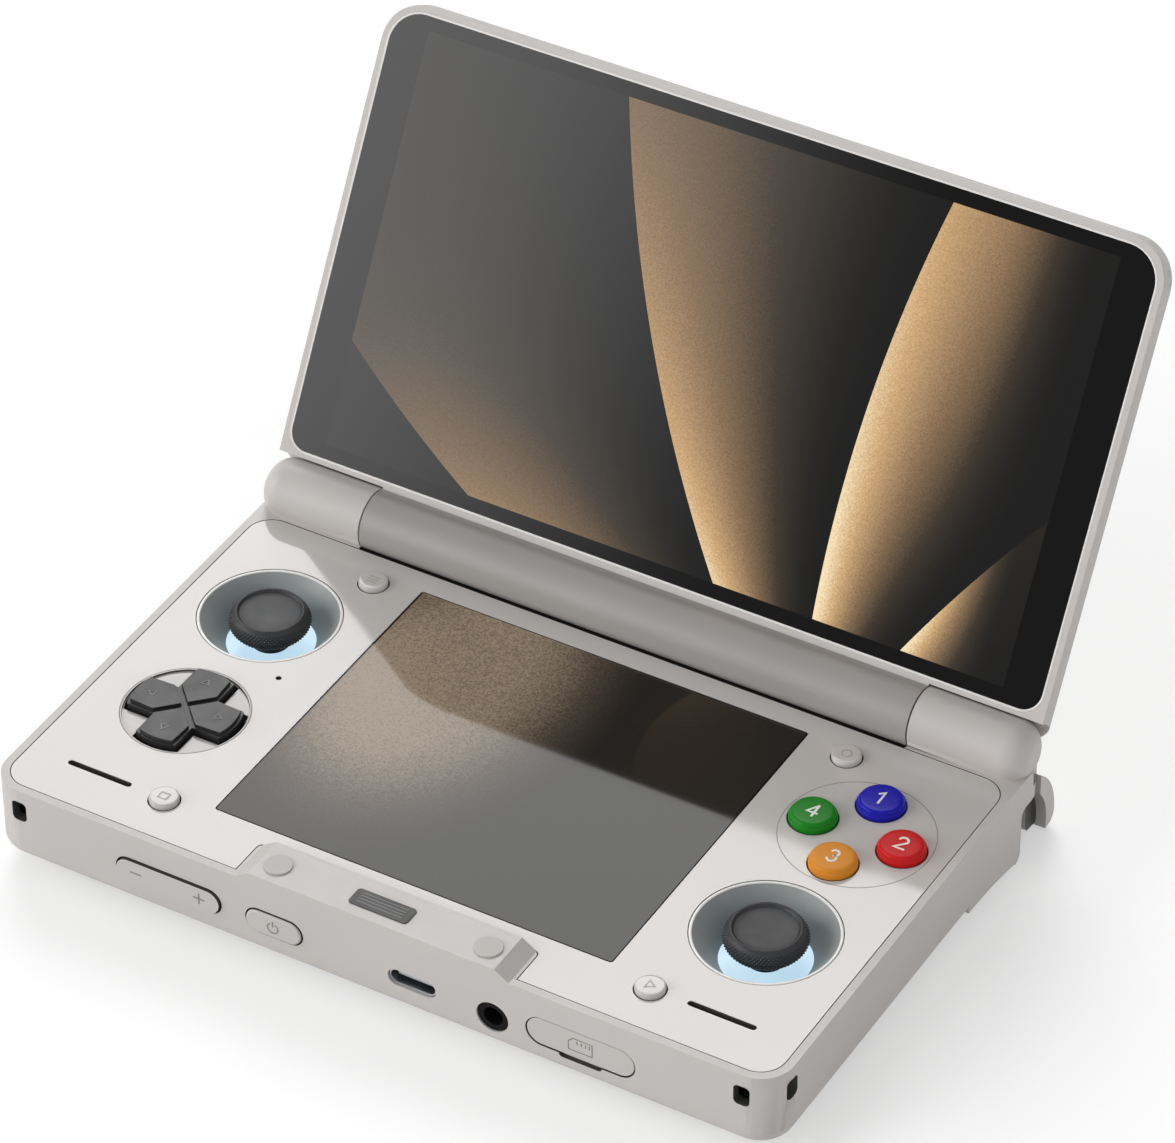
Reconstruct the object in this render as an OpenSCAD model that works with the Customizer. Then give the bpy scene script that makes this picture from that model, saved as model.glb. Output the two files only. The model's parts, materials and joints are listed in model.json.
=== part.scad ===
// Clamshell handheld game console: two screens, two sticks, a cross pad,
// four action buttons, shoulder keys and triggers, with a barrel hinge.
// X runs along the hinge, Y to the back and Z up. The origin is the middle of
// the flat underside. The lid is drawn open by open_deg, its rest pose.

/* [Base] */
// Width of base and lid
body_w = 150; // [148:0.5:154]
// Depth of the base, front wall to back wall
body_d = 94; // [93.5:0.1:95]
// Height of the base, flat underside to face
face_z = 14.8; // [14.8:0.1:15.6]
// Corner radius of the base in plan
body_r = 6; // [5:0.5:7]
// Thickness of the outer walls
wall = 1.8; // [1.6:0.1:2]
// Height of the seam between lower cover and frame
split_z = 2.5; // [2.3:0.1:2.7]
// Radius that rounds the lower edge
edge_r = 2; // [1.5:0.1:2]
// Drop of the two grip humps below the underside
hump_drop = 2; // [1.5:0.1:2.2]

/* [Face] */
// Thickness of the glossy faceplate
plate_t = 1; // [0.8:0.1:1.2]
// Width of the rim around the faceplate
rim = 1.45; // [1.2:0.05:1.6]
// Width of the lower window
window_w = 75.8; // [70:0.2:77]
// Depth of the lower window
window_d = 65.6; // [60:0.2:66]
// Distance from the front wall to the lower window
window_front = 12.55; // [12:0.05:13.2]
// Height of the raised rest in the middle of the front edge
rest_h = 1.8; // [1.2:0.1:1.9]
// Half width of the rest at its top
rest_half = 23.4; // [20:0.1:25]

/* [Controls] */
// Left and right distance of the back row of controls
back_row_x = 57.2; // [56.5:0.1:58]
// Depth place of the back row of controls
back_row_y = 12.6; // [12:0.1:13.5]
// Left and right distance of the front row of controls
front_row_x = 55.9; // [55:0.1:56.5]
// Depth place of the front row of controls
front_row_y = -15.8; // [-16.5:0.1:-15]
// Radius of a stick dish
dish_r = 12.6; // [12:0.1:12.8]
// Radius of an action button
button_r = 4.15; // [4:0.05:4.3]
// Height of an action button above the face
button_h = 1.7; // [1.2:0.1:1.8]
// Distance of each action button from their common centre
button_ring = 8.3; // [8.1:0.1:8.5]
// Length of a cross arm from the centre
cross_arm = 10; // [9.5:0.1:10]
// Half width of a cross arm
cross_half = 3.9; // [3.4:0.1:4]

/* [Lid] */
// Opening angle of the lid as drawn
open_deg = 120; // [90:5:150]
// Radius of the hinge barrel
barrel_r = 5.6; // [5.4:0.1:5.6]
// Height of the hinge axis above the face
hinge_up = 2.6; // [2.5:0.1:2.8]
// Thickness of the lid
lid_t = 6; // [5.8:0.1:6]
// Gap between face and glass when the lid is closed
closed_gap = 2.2; // [2.2:0.1:2.4]
// Width of the lid glass
glass_w = 147.3; // [146:0.1:147.4]
// Height of the lid glass
glass_h = 80.1; // [78:0.1:80.1]
// Distance from the hinge axis to the lower edge of the glass
glass_up = 6.95; // [6.9:0.05:7]
// Half length of the middle barrel
barrel_half = 53.6; // [50:0.2:54]

/* [Hidden] */
$fn = 64;

// colours
shell_col = [0.74, 0.73, 0.71];
plate_col = [0.86, 0.85, 0.83];
dark_col = [0.16, 0.16, 0.16];
metal_col = [0.62, 0.63, 0.65];
board_col = [0.1, 0.3, 0.2];
glass_col = [0.08, 0.08, 0.09];

eps = 0.05;               // reach of a cut past the face it opens
seam = 0.15;              // gap around an inlaid plate

// outlines of the base
front_y = -body_d / 2;
back_y = body_d / 2;
side_x = body_w / 2;
inner_x = side_x - wall;
inner_front = front_y + wall;
inner_back = back_y - wall;
deck_top = face_z - plate_t;
deck_t = 1.2;
deck_z = deck_top - deck_t;
floor_t = 1.4;
pad_h = 0.3;              // the flat pad stands this far below the cover
floor_z = pad_h + floor_t;

// hinge
hinge_y = back_y - barrel_r;
hinge_z = face_z + hinge_up;
barrel_gap = 0.25;
knuckle_from = barrel_half + 0.3;
knuckle_round = 4;
gutter_r = barrel_r + barrel_gap;
gutter_t = 1.2;
shelf_z = hinge_z - barrel_r - 0.5;

// faceplate and lower window
plate_w = body_w - 2 * rim - 2 * seam;
plate_front = front_y + rim + seam;
plate_back = hinge_y - barrel_r - 0.2;
plate_d = plate_back - plate_front;
plate_r = body_r - rim;
notch_half = rest_half + 3.4;
notch_back = front_y + 9;
window_y = front_y + window_front + window_d / 2;
display_w = window_w + 2.8;
display_d = window_d + 4;
display_t = 2;

// places of the controls: the sticks sit back left and front right
stick_xy = [[-back_row_x, back_row_y], [front_row_x, front_row_y]];
dpad_xy = [-front_row_x, front_row_y];
buttons_xy = [back_row_x, back_row_y];
key_x = 46.4;
key_back_y = 28.8;
key_front_y = -36.8;
key_r = 2.6;
key_h = 0.9;
slot_x = 59.4;
slot_y = -36.5;
slot_l = 12.5;
slot_w = 1.15;
mic_xy = [-46.9, -0.8];

// stick module, heights from the underside
dish_z = 9.2;             // bottom of the dish
dish_low_r = 7.8;         // radius there
led_inner_r = 3.4;
pivot_z = 5.4;            // where the two tilt axes cross
housing_w = 16.4;
yoke_r = 6.6;
rocker_r = 4.4;
boot_r = 4.2;             // dust dome around the pivot
cap_r = 7.2;

// front wall controls: [x, height]
volume_x = -39.3;
power_x = -18.7;
card_x = 39.3;
usb_x = 7.7;
jack_x = 22.9;
pill_z = 7;
usb_z = 6.4;
jack_z = 6;
pill_h = 5.2;
volume_l = 20.8;
power_l = 11.2;
card_l = 20.4;
card_h = 5.9;
rocker_axis_y = inner_front + 1.6;
strap_x = side_x - 6.2;
strap_y = front_y + 5.7;
strap_z = 10.3;

// shoulder keys and triggers
pin_y = 42.4;
pin_z = 8.2;
pin_r = 0.7;
pin_from = 31.2;
hub_r = 1.5;
key_from = 33;
key_to = 48.6;
trigger_pin_z = 9.5;
trigger_from = 50.4;
trigger_to = side_x - 0.2;
trigger_low = -2.4;
trigger_top = 12;
trigger_arc = 14.3;
trigger_skin = 3;
bay_y = 37.4;
bay_top = 8.6;
bay_back = 44;
bay_r = 1.6;

// inner pieces
board_z = 2;
board_t = 0.8;
seat_z = 8.6;
fan_xy = [13, 19];
fan_half = 14.3;
screw_xy = [[-70, -27], [70, -27], [-70, 27], [70, 27], [-6.5, -41], [-24, 39]];
boss_r = 2.4;
screw_r = 0.8;

// lid, in its own frame: across, up from the axis, out of the face
lid_face = hinge_up - closed_gap;
lid_rear = lid_face - lid_t;
lid_split = lid_face - 3;
lid_top = glass_up + glass_h + 1.35;
lid_r = 7.6;
glass_r_low = 3.7;
glass_r_top = 6.3;
glass_t = 0.8;
panel_w = 136;
panel_h = 77.6;
panel_t = 1.9;
lid_clear = barrel_r + 0.35;
shaft_r = 1.8;

// ---- outlines ----

module rounded(w, d, r) {
    square([w - 2 * r, d], center = true);
    square([w, d - 2 * r], center = true);
    for (sx = [-1, 1], sy = [-1, 1])
        translate([sx * (w / 2 - r), sy * (d / 2 - r)]) circle(r);
}

// rounded sheet from y = 0 to y = h with its own low and top corner radii
module sheet(w, h, r_low, r_top) {
    translate([-w / 2 + r_low, 0]) square([w - 2 * r_low, h / 2]);
    translate([-w / 2 + r_top, h / 2]) square([w - 2 * r_top, h / 2]);
    translate([-w / 2, r_low]) square([w, h - r_low - r_top]);
    for (s = [-1, 1]) {
        translate([s * (w / 2 - r_low), r_low]) circle(r_low);
        translate([s * (w / 2 - r_top), h - r_top]) circle(r_top);
    }
}

module pill(l, h) {
    square([l - h, h], center = true);
    for (s = [-1, 1])
        translate([s * (l - h) / 2, 0]) circle(h / 2);
}

// a y-z outline drawn from x0 to x1
module along_x(x0, x1)
    translate([x0, 0, 0]) rotate([90, 0, 90]) linear_extrude(x1 - x0) children();

// an x-z outline drawn from y0 to y1
module along_y(y0, y1)
    translate([0, y1, 0]) rotate([90, 0, 0]) linear_extrude(y1 - y0) children();

module up(z0, z1)
    translate([0, 0, z0]) linear_extrude(z1 - z0) children();

module both_sides()
    for (m = [0, 1])
        mirror([m, 0, 0]) children();

module in_lid()
    translate([0, hinge_y, hinge_z]) rotate([180 - open_deg, 0, 0]) children();

module box(x0, x1, y0, y1, z0, z1)
    translate([x0, y0, z0]) cube([x1 - x0, y1 - y0, z1 - z0]);

// ---- base ----

// one grip hump: its lower side falls along a parabola towards the trigger
hump_from = 19;
rear_foot_y = 33.5;
foot_z = -3;
hump_steps = 8;
function hump_low(y) =
    pad_h - (hump_drop + pad_h) * pow((y - hump_from) / (bay_y - hump_from), 2);
hump_r = 2;
hump_points = concat(
    [for (i = [0:hump_steps])
        let(y = hump_from + (bay_y - hump_r - hump_from) * i / hump_steps) [y, hump_low(y)]],
    [for (a = [-75:15:0])
        [bay_y - hump_r + hump_r * cos(a), hump_r - hump_drop + hump_r * sin(a)]],
    [[bay_y, split_z], [hump_from, split_z]]);

module lower_cover() color(shell_col)
    difference() {
        union() {
            hull()
                for (sx = [-1, 1], sy = [-1, 1])
                    translate([sx * (side_x - body_r), sy * (back_y - body_r), 0]) {
                        up(pad_h + edge_r, split_z) circle(body_r, $fn = 40);
                        translate([0, 0, pad_h + edge_r])
                            rotate_extrude($fn = 40)
                                intersection() {
                                    translate([body_r - edge_r, 0]) circle(edge_r, $fn = 24);
                                    translate([0, -edge_r]) square([body_r, edge_r]);
                                }
                    }
            up(0, floor_z) rounded(90, 60, 5);
            both_sides() along_x(47, side_x) polygon(hump_points);
        }
        // inside of the tray
        up(floor_z, split_z + eps)
            rounded(body_w - 2 * wall, body_d - 2 * wall, body_r - wall);
        // trigger bays
        both_sides() box(trigger_from - 0.3, side_x + 1, bay_y, back_y + 1, -4, split_z + 1);
        // screws
        for (p = screw_xy) translate([p[0], p[1], -4]) {
            cylinder(h = 5.2, r = 2);
            cylinder(h = 8, r = screw_r + eps);
        }
        // air intake under the fan
        for (i = [-3:3])
            translate([fan_xy[0], fan_xy[1] + 2.6 * i, -1])
                linear_extrude(4) pill(22 - 2.4 * abs(i), 1.2);
        // seats of the rear feet
        both_sides() translate([60, rear_foot_y, -4]) linear_extrude(2.7) pill(16, 4.6);
    }

module rubber_feet() color(dark_col)
    both_sides() {
        translate([44, -36]) up(foot_z, pad_h) pill(26, 5);
        translate([60, rear_foot_y]) up(foot_z, -1.3) pill(15.8, 4.4);
    }

module faceplate_outline(grow) {
    difference() {
        translate([0, (plate_front + plate_back) / 2])
            rounded(plate_w + 2 * grow, plate_d + 2 * grow, plate_r + grow);
        translate([0, notch_back - grow - 10])
            rounded(2 * (notch_half - grow), 20, 1.2);
    }
}

module knuckle()
    translate([knuckle_from, hinge_y, hinge_z]) rotate([0, 90, 0])
        rotate_extrude() {
            length = side_x - knuckle_from;
            square([barrel_r, length - knuckle_round]);
            square([barrel_r - knuckle_round, length]);
            intersection() {
                translate([barrel_r - knuckle_round, length - knuckle_round]) circle(knuckle_round);
                square([barrel_r, length]);
            }
        }

module rest_platform()
    along_y(front_y, notch_back - seam)
        polygon([[-notch_half + 0.7, deck_top], [-notch_half + 0.7, face_z],
                 [-rest_half, face_z + rest_h], [rest_half, face_z + rest_h],
                 [notch_half - 0.7, face_z], [notch_half - 0.7, deck_top]]);

module wall_ring()
    up(split_z, face_z)
        difference() {
            rounded(body_w, body_d, body_r);
            rounded(body_w - 2 * wall, body_d - 2 * wall, body_r - wall);
        }

// trough that the middle barrel turns in, and the shelf behind it
module gutter() {
    along_x(-knuckle_from - 1, knuckle_from + 1)
        intersection() {
            difference() {
                translate([hinge_y, hinge_z]) circle(gutter_r + gutter_t);
                translate([hinge_y, hinge_z]) circle(gutter_r);
            }
            translate([hinge_y - 9, shelf_z - 2]) square([9, face_z - shelf_z + 2]);
        }
    box(-inner_x - eps, inner_x + eps, hinge_y - 1, inner_back + eps, shelf_z - 1.2, shelf_z);
}

module base_solid() {
    difference() {
        union() {
            wall_ring();
            up(deck_z, face_z) rounded(body_w - wall, body_d - wall, body_r - wall / 2);
            gutter();
        }
        up(deck_top, face_z + 1) faceplate_outline(seam);
        // nothing stands above the shelf behind the hinge axis
        box(-side_x - 1, side_x + 1, hinge_y, back_y + 1, shelf_z, face_z + 1);
    }
    rest_platform();
    both_sides() {
        knuckle();
        // trigger bay walls and the ears of the shoulder pins
        box(trigger_from - 1.5, trigger_from - 0.3, bay_y - 1.4, inner_back + eps, split_z, shelf_z);
        box(trigger_from - 0.4, inner_x + eps, bay_y - 1.4, bay_y - 0.2, split_z, deck_z + eps);
        box(pin_from, pin_from + 1.4, pin_y - 2.2, inner_back + eps, split_z, 10.3);
    }
    for (p = screw_xy)
        translate([p[0], p[1], 0]) up(split_z, p[1] > hinge_y - 6 ? 11 : deck_z + eps) circle(boss_r);
    // ears of the volume rocker
    for (z = [pill_z - 4.2, pill_z + 2.7])
        box(volume_x - 1.6, volume_x + 1.6, inner_front - eps, rocker_axis_y + 1.2, z, z + 1.5);
}

module base_frame() color(shell_col)
    difference() {
        base_solid();
        translate([0, hinge_y, hinge_z]) rotate([0, 90, 0])
            cylinder(h = 2 * knuckle_from - 0.3, r = gutter_r, center = true);
        // openings of the deck
        translate([0, window_y, deck_z - 1])
            linear_extrude(4) rounded(display_w + 0.4, display_d + 0.4, 1.5);
        for (p = stick_xy) translate([p[0], p[1], deck_z - 1]) cylinder(h = 4, r = dish_r - 0.3);
        translate([dpad_xy[0], dpad_xy[1], deck_z - 1]) cylinder(h = 4, r = cross_arm + 0.6);
        for (a = [0:90:270])
            translate([buttons_xy[0] + button_ring * cos(a), buttons_xy[1] + button_ring * sin(a),
                       deck_z - 1]) cylinder(h = 4, r = button_r + 0.8);
        both_sides() {
            for (y = [key_back_y, key_front_y])
                translate([key_x, y, deck_z - 1]) cylinder(h = 4, r = key_r + 0.75);
            translate([slot_x, slot_y, deck_z - 1]) linear_extrude(4) pill(slot_l, slot_w);
        }
        translate([mic_xy[0], mic_xy[1], deck_z - 1]) cylinder(h = 4, r = 0.5);
        front_wall_cuts();
        back_wall_cuts();
        for (p = screw_xy) translate([p[0], p[1], split_z - 1]) cylinder(h = 6.5, r = screw_r + 0.03);
    }

module front_wall_cuts() {
    translate([volume_x, 0, pill_z]) along_y(front_y - 1, inner_front + eps) pill(volume_l, pill_h);
    translate([power_x, 0, pill_z]) along_y(front_y - 1, inner_front + eps) pill(power_l, pill_h);
    translate([card_x, 0, pill_z]) along_y(front_y - 1, front_y + 1.4) pill(card_l, card_h);
    translate([card_x, 0, pill_z]) along_y(front_y, inner_front + eps) square([13, 3], center = true);
    // nail notch below the card cover
    translate([card_x, 0, pill_z - card_h / 2]) along_y(front_y - 1, front_y + 0.9) pill(8, 1.4);
    translate([usb_x, 0, usb_z]) along_y(front_y - 1, inner_front + eps) pill(9.2, 3.4);
    translate([jack_x, 0, jack_z]) along_y(front_y - 1, inner_front + eps) circle(3);
    translate([volume_x, rocker_axis_y, pill_z - 5]) cylinder(h = 10, r = 0.75);
    both_sides() {
        // strap holes: in at the front, out at the side, around the corner post
        translate([strap_x, 0, strap_z]) along_y(front_y - 1, inner_front + 1) rounded(2.9, 4, 0.9);
        translate([0, strap_y, strap_z]) along_x(inner_x - 1, side_x + 1) rounded(3, 4, 0.9);
    }
}

module back_wall_cuts() {
    both_sides() {
        // trigger bay, open at the back and at the side
        box(trigger_from - 0.3, inner_x, bay_y - 0.2, back_y + 1, split_z - 1, shelf_z + eps);
        along_x(trigger_from - 0.3, side_x + 1) {
            translate([bay_y, split_z - 1]) square([back_y + 1 - bay_y, bay_top - bay_r - split_z + 1]);
            translate([bay_y + bay_r, split_z]) square([back_y + 1 - bay_y - bay_r, bay_top - split_z]);
            translate([bay_y + bay_r, bay_top - bay_r]) circle(bay_r);
        }
        box(trigger_from - 0.3, side_x + 1, bay_back, back_y + 1, bay_top - 1, shelf_z + eps);
        // shoulder key
        box(key_from - 0.4, key_to + 0.3, inner_back - 1, back_y + 1, 2.7, 10);
        pin_hole(pin_from - 1, trigger_from - 0.6, pin_z);
        pin_hole(trigger_from - 1.3, side_x - 0.8, trigger_pin_z);
        // seat of the hinge bracket
        translate([knuckle_from - 1, hinge_y, hinge_z]) rotate([0, 90, 0])
            cylinder(h = 15, r = 3.2);
    }
    // exhaust slots
    for (i = [-10:10])
        box(2.6 * i - 0.6, 2.6 * i + 0.6, inner_back - 1, back_y + 1, 4.2, 9.2);
}

module pin_hole(x0, x1, z)
    translate([x0, pin_y, z]) rotate([0, 90, 0]) cylinder(h = x1 - x0, r = pin_r + 0.02);

module faceplate() color(plate_col)
    up(deck_top, face_z)
        difference() {
            faceplate_outline(0);
            translate([0, window_y]) rounded(window_w + 0.2, window_d + 0.2, 0.6);
            for (p = stick_xy) translate(p) circle(dish_r + 0.1);
            translate(dpad_xy) circle(cross_arm + 1.2);
            translate(buttons_xy) circle(button_ring + button_r + 0.8);
            for (sx = [-1, 1]) {
                for (y = [key_back_y, key_front_y])
                    translate([sx * key_x, y]) circle(key_r + 0.22);
                translate([sx * slot_x, slot_y]) pill(slot_l, slot_w);
            }
            translate(mic_xy) circle(0.5);
        }

module lower_glass() color(glass_col)
    translate([0, window_y]) up(face_z - glass_t, face_z) rounded(window_w, window_d, 0.5);

module lower_display() color(metal_col)
    translate([0, window_y]) up(deck_top - 0.05 - display_t, deck_top - 0.05) rounded(display_w, display_d, 1.2);

module rest_bumpers() color(dark_col)
    both_sides() translate([20, front_y + 4, face_z + rest_h]) cylinder(h = 0.35, r = 2.45);

module badge_plate() color(dark_col)
    translate([0, front_y + 4]) up(face_z + rest_h, face_z + rest_h + 0.2) rounded(11.2, 3.9, 0.7);

module button_bezel() color(plate_col)
    translate(buttons_xy)
        up(deck_top, face_z)
            difference() {
                circle(button_ring + button_r + 0.75);
                for (a = [0:90:270])
                    rotate(a) translate([button_ring, 0]) circle(button_r + 0.22);
            }

module cross_outline(half, arm) {
    intersection() {
        union() {
            square([2 * arm, 2 * half], center = true);
            square([2 * half, 2 * arm], center = true);
        }
        circle(arm);
    }
}

module dpad_bezel() color(plate_col)
    translate(dpad_xy)
        difference() {
            union() {
                up(deck_top, face_z) circle(cross_arm + 1.08);
                up(deck_top - 0.5, deck_top + eps) circle(cross_arm + 0.5);
            }
            up(face_z - 0.4, face_z + 1) circle(cross_arm + 0.8);
            up(deck_top - 1, face_z + 1) cross_outline(cross_half + 0.5, cross_arm + 0.6);
        }

// dish profile: [radius, height] of the visible cone
module stick_bezels() color(metal_col)
    for (p = stick_xy) translate(p)
        rotate_extrude()
            polygon([[dish_low_r, dish_z - 0.1], [dish_r - 0.6, face_z - 0.1], [dish_r - 0.5, face_z],
                     [dish_r, face_z], [dish_r, deck_top], [dish_r - 0.45, deck_top],
                     [dish_low_r + 0.8, dish_z - 0.1]]);

module led_rings() color([0.75, 0.88, 0.98])
    for (p = stick_xy) translate(p)
        up(dish_z - 0.9, dish_z - 0.1)
            difference() {
                circle(dish_low_r + 0.8);
                circle(led_inner_r);
            }

// ---- stick modules ----

module stick_housings() color(metal_col)
    for (p = stick_xy) translate(p)
        difference() {
            up(board_z + board_t, dish_z - 0.95) square(housing_w, center = true);
            up(board_z + board_t + 0.4, dish_z - 1.5) square(housing_w - 1.6, center = true);
            up(dish_z - 2, dish_z) circle(5.2);
            translate([0, 0, pivot_z]) rotate([0, 90, 0])
                cylinder(h = housing_w + 1, r = 0.85, center = true);
        }

module stick_yoke(p) color([0.9, 0.9, 0.88])
    translate([p[0], p[1], pivot_z])
        difference() {
            union() {
                cylinder(h = 1.7, r = yoke_r, center = true);
                rotate([0, 90, 0]) cylinder(h = housing_w - 0.1, r = 0.8, center = true);
            }
            cylinder(h = 4, r = yoke_r - 1.4, center = true);
            rotate([90, 0, 0]) cylinder(h = 20, r = 0.65, center = true);
        }

// rocker with its dust dome, which stays under the cap
module stick_rocker(p) color(dark_col)
    translate([p[0], p[1], pivot_z])
        difference() {
            union() {
                cylinder(h = 1.6, r = rocker_r, center = true);
                cylinder(h = 2, r = 2.6);
                rotate([90, 0, 0]) cylinder(h = 2 * yoke_r - 0.2, r = 0.6, center = true);
                rotate_extrude() intersection() {
                    difference() {
                        circle(boot_r);
                        circle(boot_r - 0.7);
                    }
                    translate([1.95, 0.6]) square(boot_r);
                }
            }
            cylinder(h = 8, r = 1.35, center = true);
        }

// cap profile: stem, skirt, knurled rim, raised ring and dished top
cap_top = face_z + 1.2;
module stick_cap(p) color(dark_col)
    translate(p)
        rotate_extrude()
            polygon([[0, pivot_z - 1], [1.3, pivot_z - 1], [1.3, pivot_z + 2.6], [1.8, pivot_z + 2.6],
                     [1.8, cap_top - 5], [4.2, cap_top - 4.9], [5.4, cap_top - 4.5],
                     [6.5, cap_top - 3.7], [cap_r, cap_top - 2.6], [cap_r, cap_top - 1.6],
                     [6.3, cap_top - 0.3], [5.9, cap_top], [5.5, cap_top], [5.3, cap_top - 0.35],
                     [3, cap_top - 0.6], [0, cap_top - 0.7]]);

// ---- buttons ----

button_rot = [180, 90, 0, 270];      // left, top, right, bottom
button_cols = [[0.1, 0.5, 0.15], [0.1, 0.1, 0.65], [0.8, 0.1, 0.12], [0.9, 0.55, 0.1]];

module round_key(r, h, flange, round_h)
    rotate_extrude()
        polygon([[0, deck_z + 0.3], [r + flange, deck_z + 0.3], [r + flange, deck_top - 0.1],
                 [r, deck_top - 0.1], [r, face_z + h - round_h], [r - 0.15, face_z + h - 0.4 * round_h],
                 [r - 0.6 * round_h, face_z + h], [0, face_z + h]]);

module action_button(i) color(button_cols[i])
    translate([buttons_xy[0] + button_ring * cos(button_rot[i]),
               buttons_xy[1] + button_ring * sin(button_rot[i])])
        round_key(button_r, button_h, 0.6, 0.9);

module menu_key(sx, y) color(shell_col)
    translate([sx * key_x, y]) round_key(key_r, key_h, 0.6, 0.3);

// each cross arm carries a raised five-sided pad
module dpad_cross() color(dark_col)
    translate(dpad_xy) {
        up(deck_z + 0.4, face_z + 0.7) cross_outline(cross_half, cross_arm);
        up(face_z + 0.7 - eps, face_z + 1.3)
            intersection() {
                for (a = [0:90:270])
                    rotate(a) polygon([[0.8, 0], [4.3, -cross_half + 0.4], [cross_arm, -cross_half + 0.7],
                                       [cross_arm, cross_half - 0.7], [4.3, cross_half - 0.4]]);
                circle(cross_arm - 0.45);
            }
        for (s = [-1, 1])
            box(-1.4, 1.4, s * 3.2 - 0.5, s * 3.2 + 0.5, 9.9, deck_z + 0.5);
        translate([0, 0, 10.9]) rotate([90, 0, 0]) cylinder(h = 6.6, r = 0.7, center = true);
    }

module dpad_pivot() color(metal_col)
    translate([dpad_xy[0], dpad_xy[1], 10.9])
        difference() {
            union() {
                cube([4.4, 5, 2.2], center = true);
                rotate([0, 90, 0]) cylinder(h = 7.8, r = 0.8, center = true);
            }
            rotate([90, 0, 0]) cylinder(h = 8, r = 0.75, center = true);
        }

// boards under the two key groups; the left one holds the cross pad's pivot
module key_boards() color(board_col) {
    translate(dpad_xy)
        difference() {
            union() {
                up(seat_z, seat_z + 1) circle(9.8);
                for (s = [-1, 1])
                    box(s * 3.2 - 0.7, s * 3.2 + 0.7, -1.5, 1.5, seat_z + 0.5, 12.2);
                for (a = [45:90:315])
                    rotate(a) translate([7.8, 0]) up(board_z + board_t, seat_z + eps) circle(1);
            }
            translate([0, 0, 10.9]) rotate([0, 90, 0]) cylinder(h = 12, r = 0.85, center = true);
        }
    translate(buttons_xy) {
        up(seat_z, seat_z + 1) circle(12.4);
        for (a = [45:90:315])
            rotate(a) translate([10.5, 0]) up(board_z + board_t, seat_z + eps) circle(1);
    }
}

// rubber domes under the keys
module key_membranes() color([0.6, 0.6, 0.62]) {
    for (a = [0:90:270]) {
        translate([buttons_xy[0] + button_ring * cos(a), buttons_xy[1] + button_ring * sin(a), seat_z + 1])
            cylinder(h = 1.9, r1 = 3.4, r2 = 2);
        translate([dpad_xy[0] + 7.4 * cos(a), dpad_xy[1] + 7.4 * sin(a), seat_z + 1])
            cylinder(h = 2.3, r1 = 2, r2 = 1.4);
    }
}

// ---- front wall ----

module volume_rocker() color(shell_col)
    difference() {
        union() {
            translate([volume_x, 0, pill_z]) {
                along_y(front_y - 0.5, inner_front + 0.6) pill(volume_l - 0.7, pill_h - 0.6);
                along_y(inner_front + 0.5, inner_front + 1.2) pill(volume_l + 1.2, 5.2);
            }
            box(volume_x - 1.4, volume_x + 1.4, inner_front + 1, rocker_axis_y + 0.9, pill_z - 2.55, pill_z + 2.55);
            translate([volume_x, rocker_axis_y, pill_z - 3.6]) cylinder(h = 7.2, r = 0.7);
        }
    }

module power_button() color(shell_col)
    translate([power_x, 0, pill_z]) {
        along_y(front_y - 0.5, inner_front + 0.4) pill(power_l - 0.6, pill_h - 0.6);
        along_y(inner_front + 0.3, inner_front + 1.1) pill(power_l + 1.2, 6);
    }

module card_cover() color(shell_col)
    translate([card_x, 0, pill_z])
        along_y(front_y, front_y + 1.2) pill(card_l - 0.4, card_h - 0.4);

module side_switches() color(board_col) {
    box(-49.5, -13, inner_front + 2.9, inner_front + 3.6, 3.8, 10.2);
    for (x = [volume_x - 7.2, volume_x + 7.2, power_x])
        box(x - 1.5, x + 1.5, inner_front + 1.75, inner_front + 2.9, pill_z - 1.2, pill_z + 1.2);
}

module usb_socket() color(metal_col) {
    translate([usb_x, 0, usb_z])
        difference() {
            along_y(front_y + 0.4, front_y + 7.6) pill(9, 3.2);
            along_y(front_y, front_y + 6.6) pill(8.4, 2.6);
        }
    translate([usb_x, 0, usb_z]) along_y(front_y + 1.4, front_y + 7) square([6.7, 0.7], center = true);
    box(usb_x - 4.2, usb_x + 4.2, front_y + 2.4, front_y + 7.6, board_z + board_t, usb_z - 1.55);
}

jack_depth = 13;
module audio_jack() color(dark_col)
    difference() {
        union() {
            translate([jack_x, 0, jack_z]) along_y(front_y + 0.3, inner_front + 0.1) circle(2.95);
            box(jack_x - 3, jack_x + 3, inner_front + eps, front_y + jack_depth + 1.2,
                board_z + board_t, jack_z + 3);
        }
        translate([jack_x, front_y + 0.3 + jack_depth, jack_z]) rotate([90, 0, 0])
            cylinder(h = jack_depth + 1, r = 1.8);
    }

module card_reader() color(metal_col)
    difference() {
        box(card_x - 7, card_x + 7, inner_front + 0.1, inner_front + 15, board_z + board_t, pill_z + 1.6);
        box(card_x - 5.7, card_x + 5.7, inner_front - 1, inner_front + 14, pill_z - 0.5, pill_z + 0.7);
    }

// ---- inner pieces ----

// board around the battery, with the processor under the heat spreader
module main_board() color(board_col) {
    up(board_z, board_z + board_t)
        difference() {
            polygon([[-71, -44.6], [71, -44.6], [71, 34], [42, 34], [42, 3.5], [0, 3.5],
                     [0, -32], [-46, -32], [-46, 34], [-71, 34]]);
            for (p = screw_xy) translate(p) circle(boss_r + 0.3);
        }
    box(10, 25, -21, -6, board_z + board_t - eps, 3.85);
}

module battery() color([0.25, 0.25, 0.28])
    up(floor_z + 0.2, floor_z + 6.7) translate([-23.5, 1]) rounded(42, 64, 2);

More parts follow.
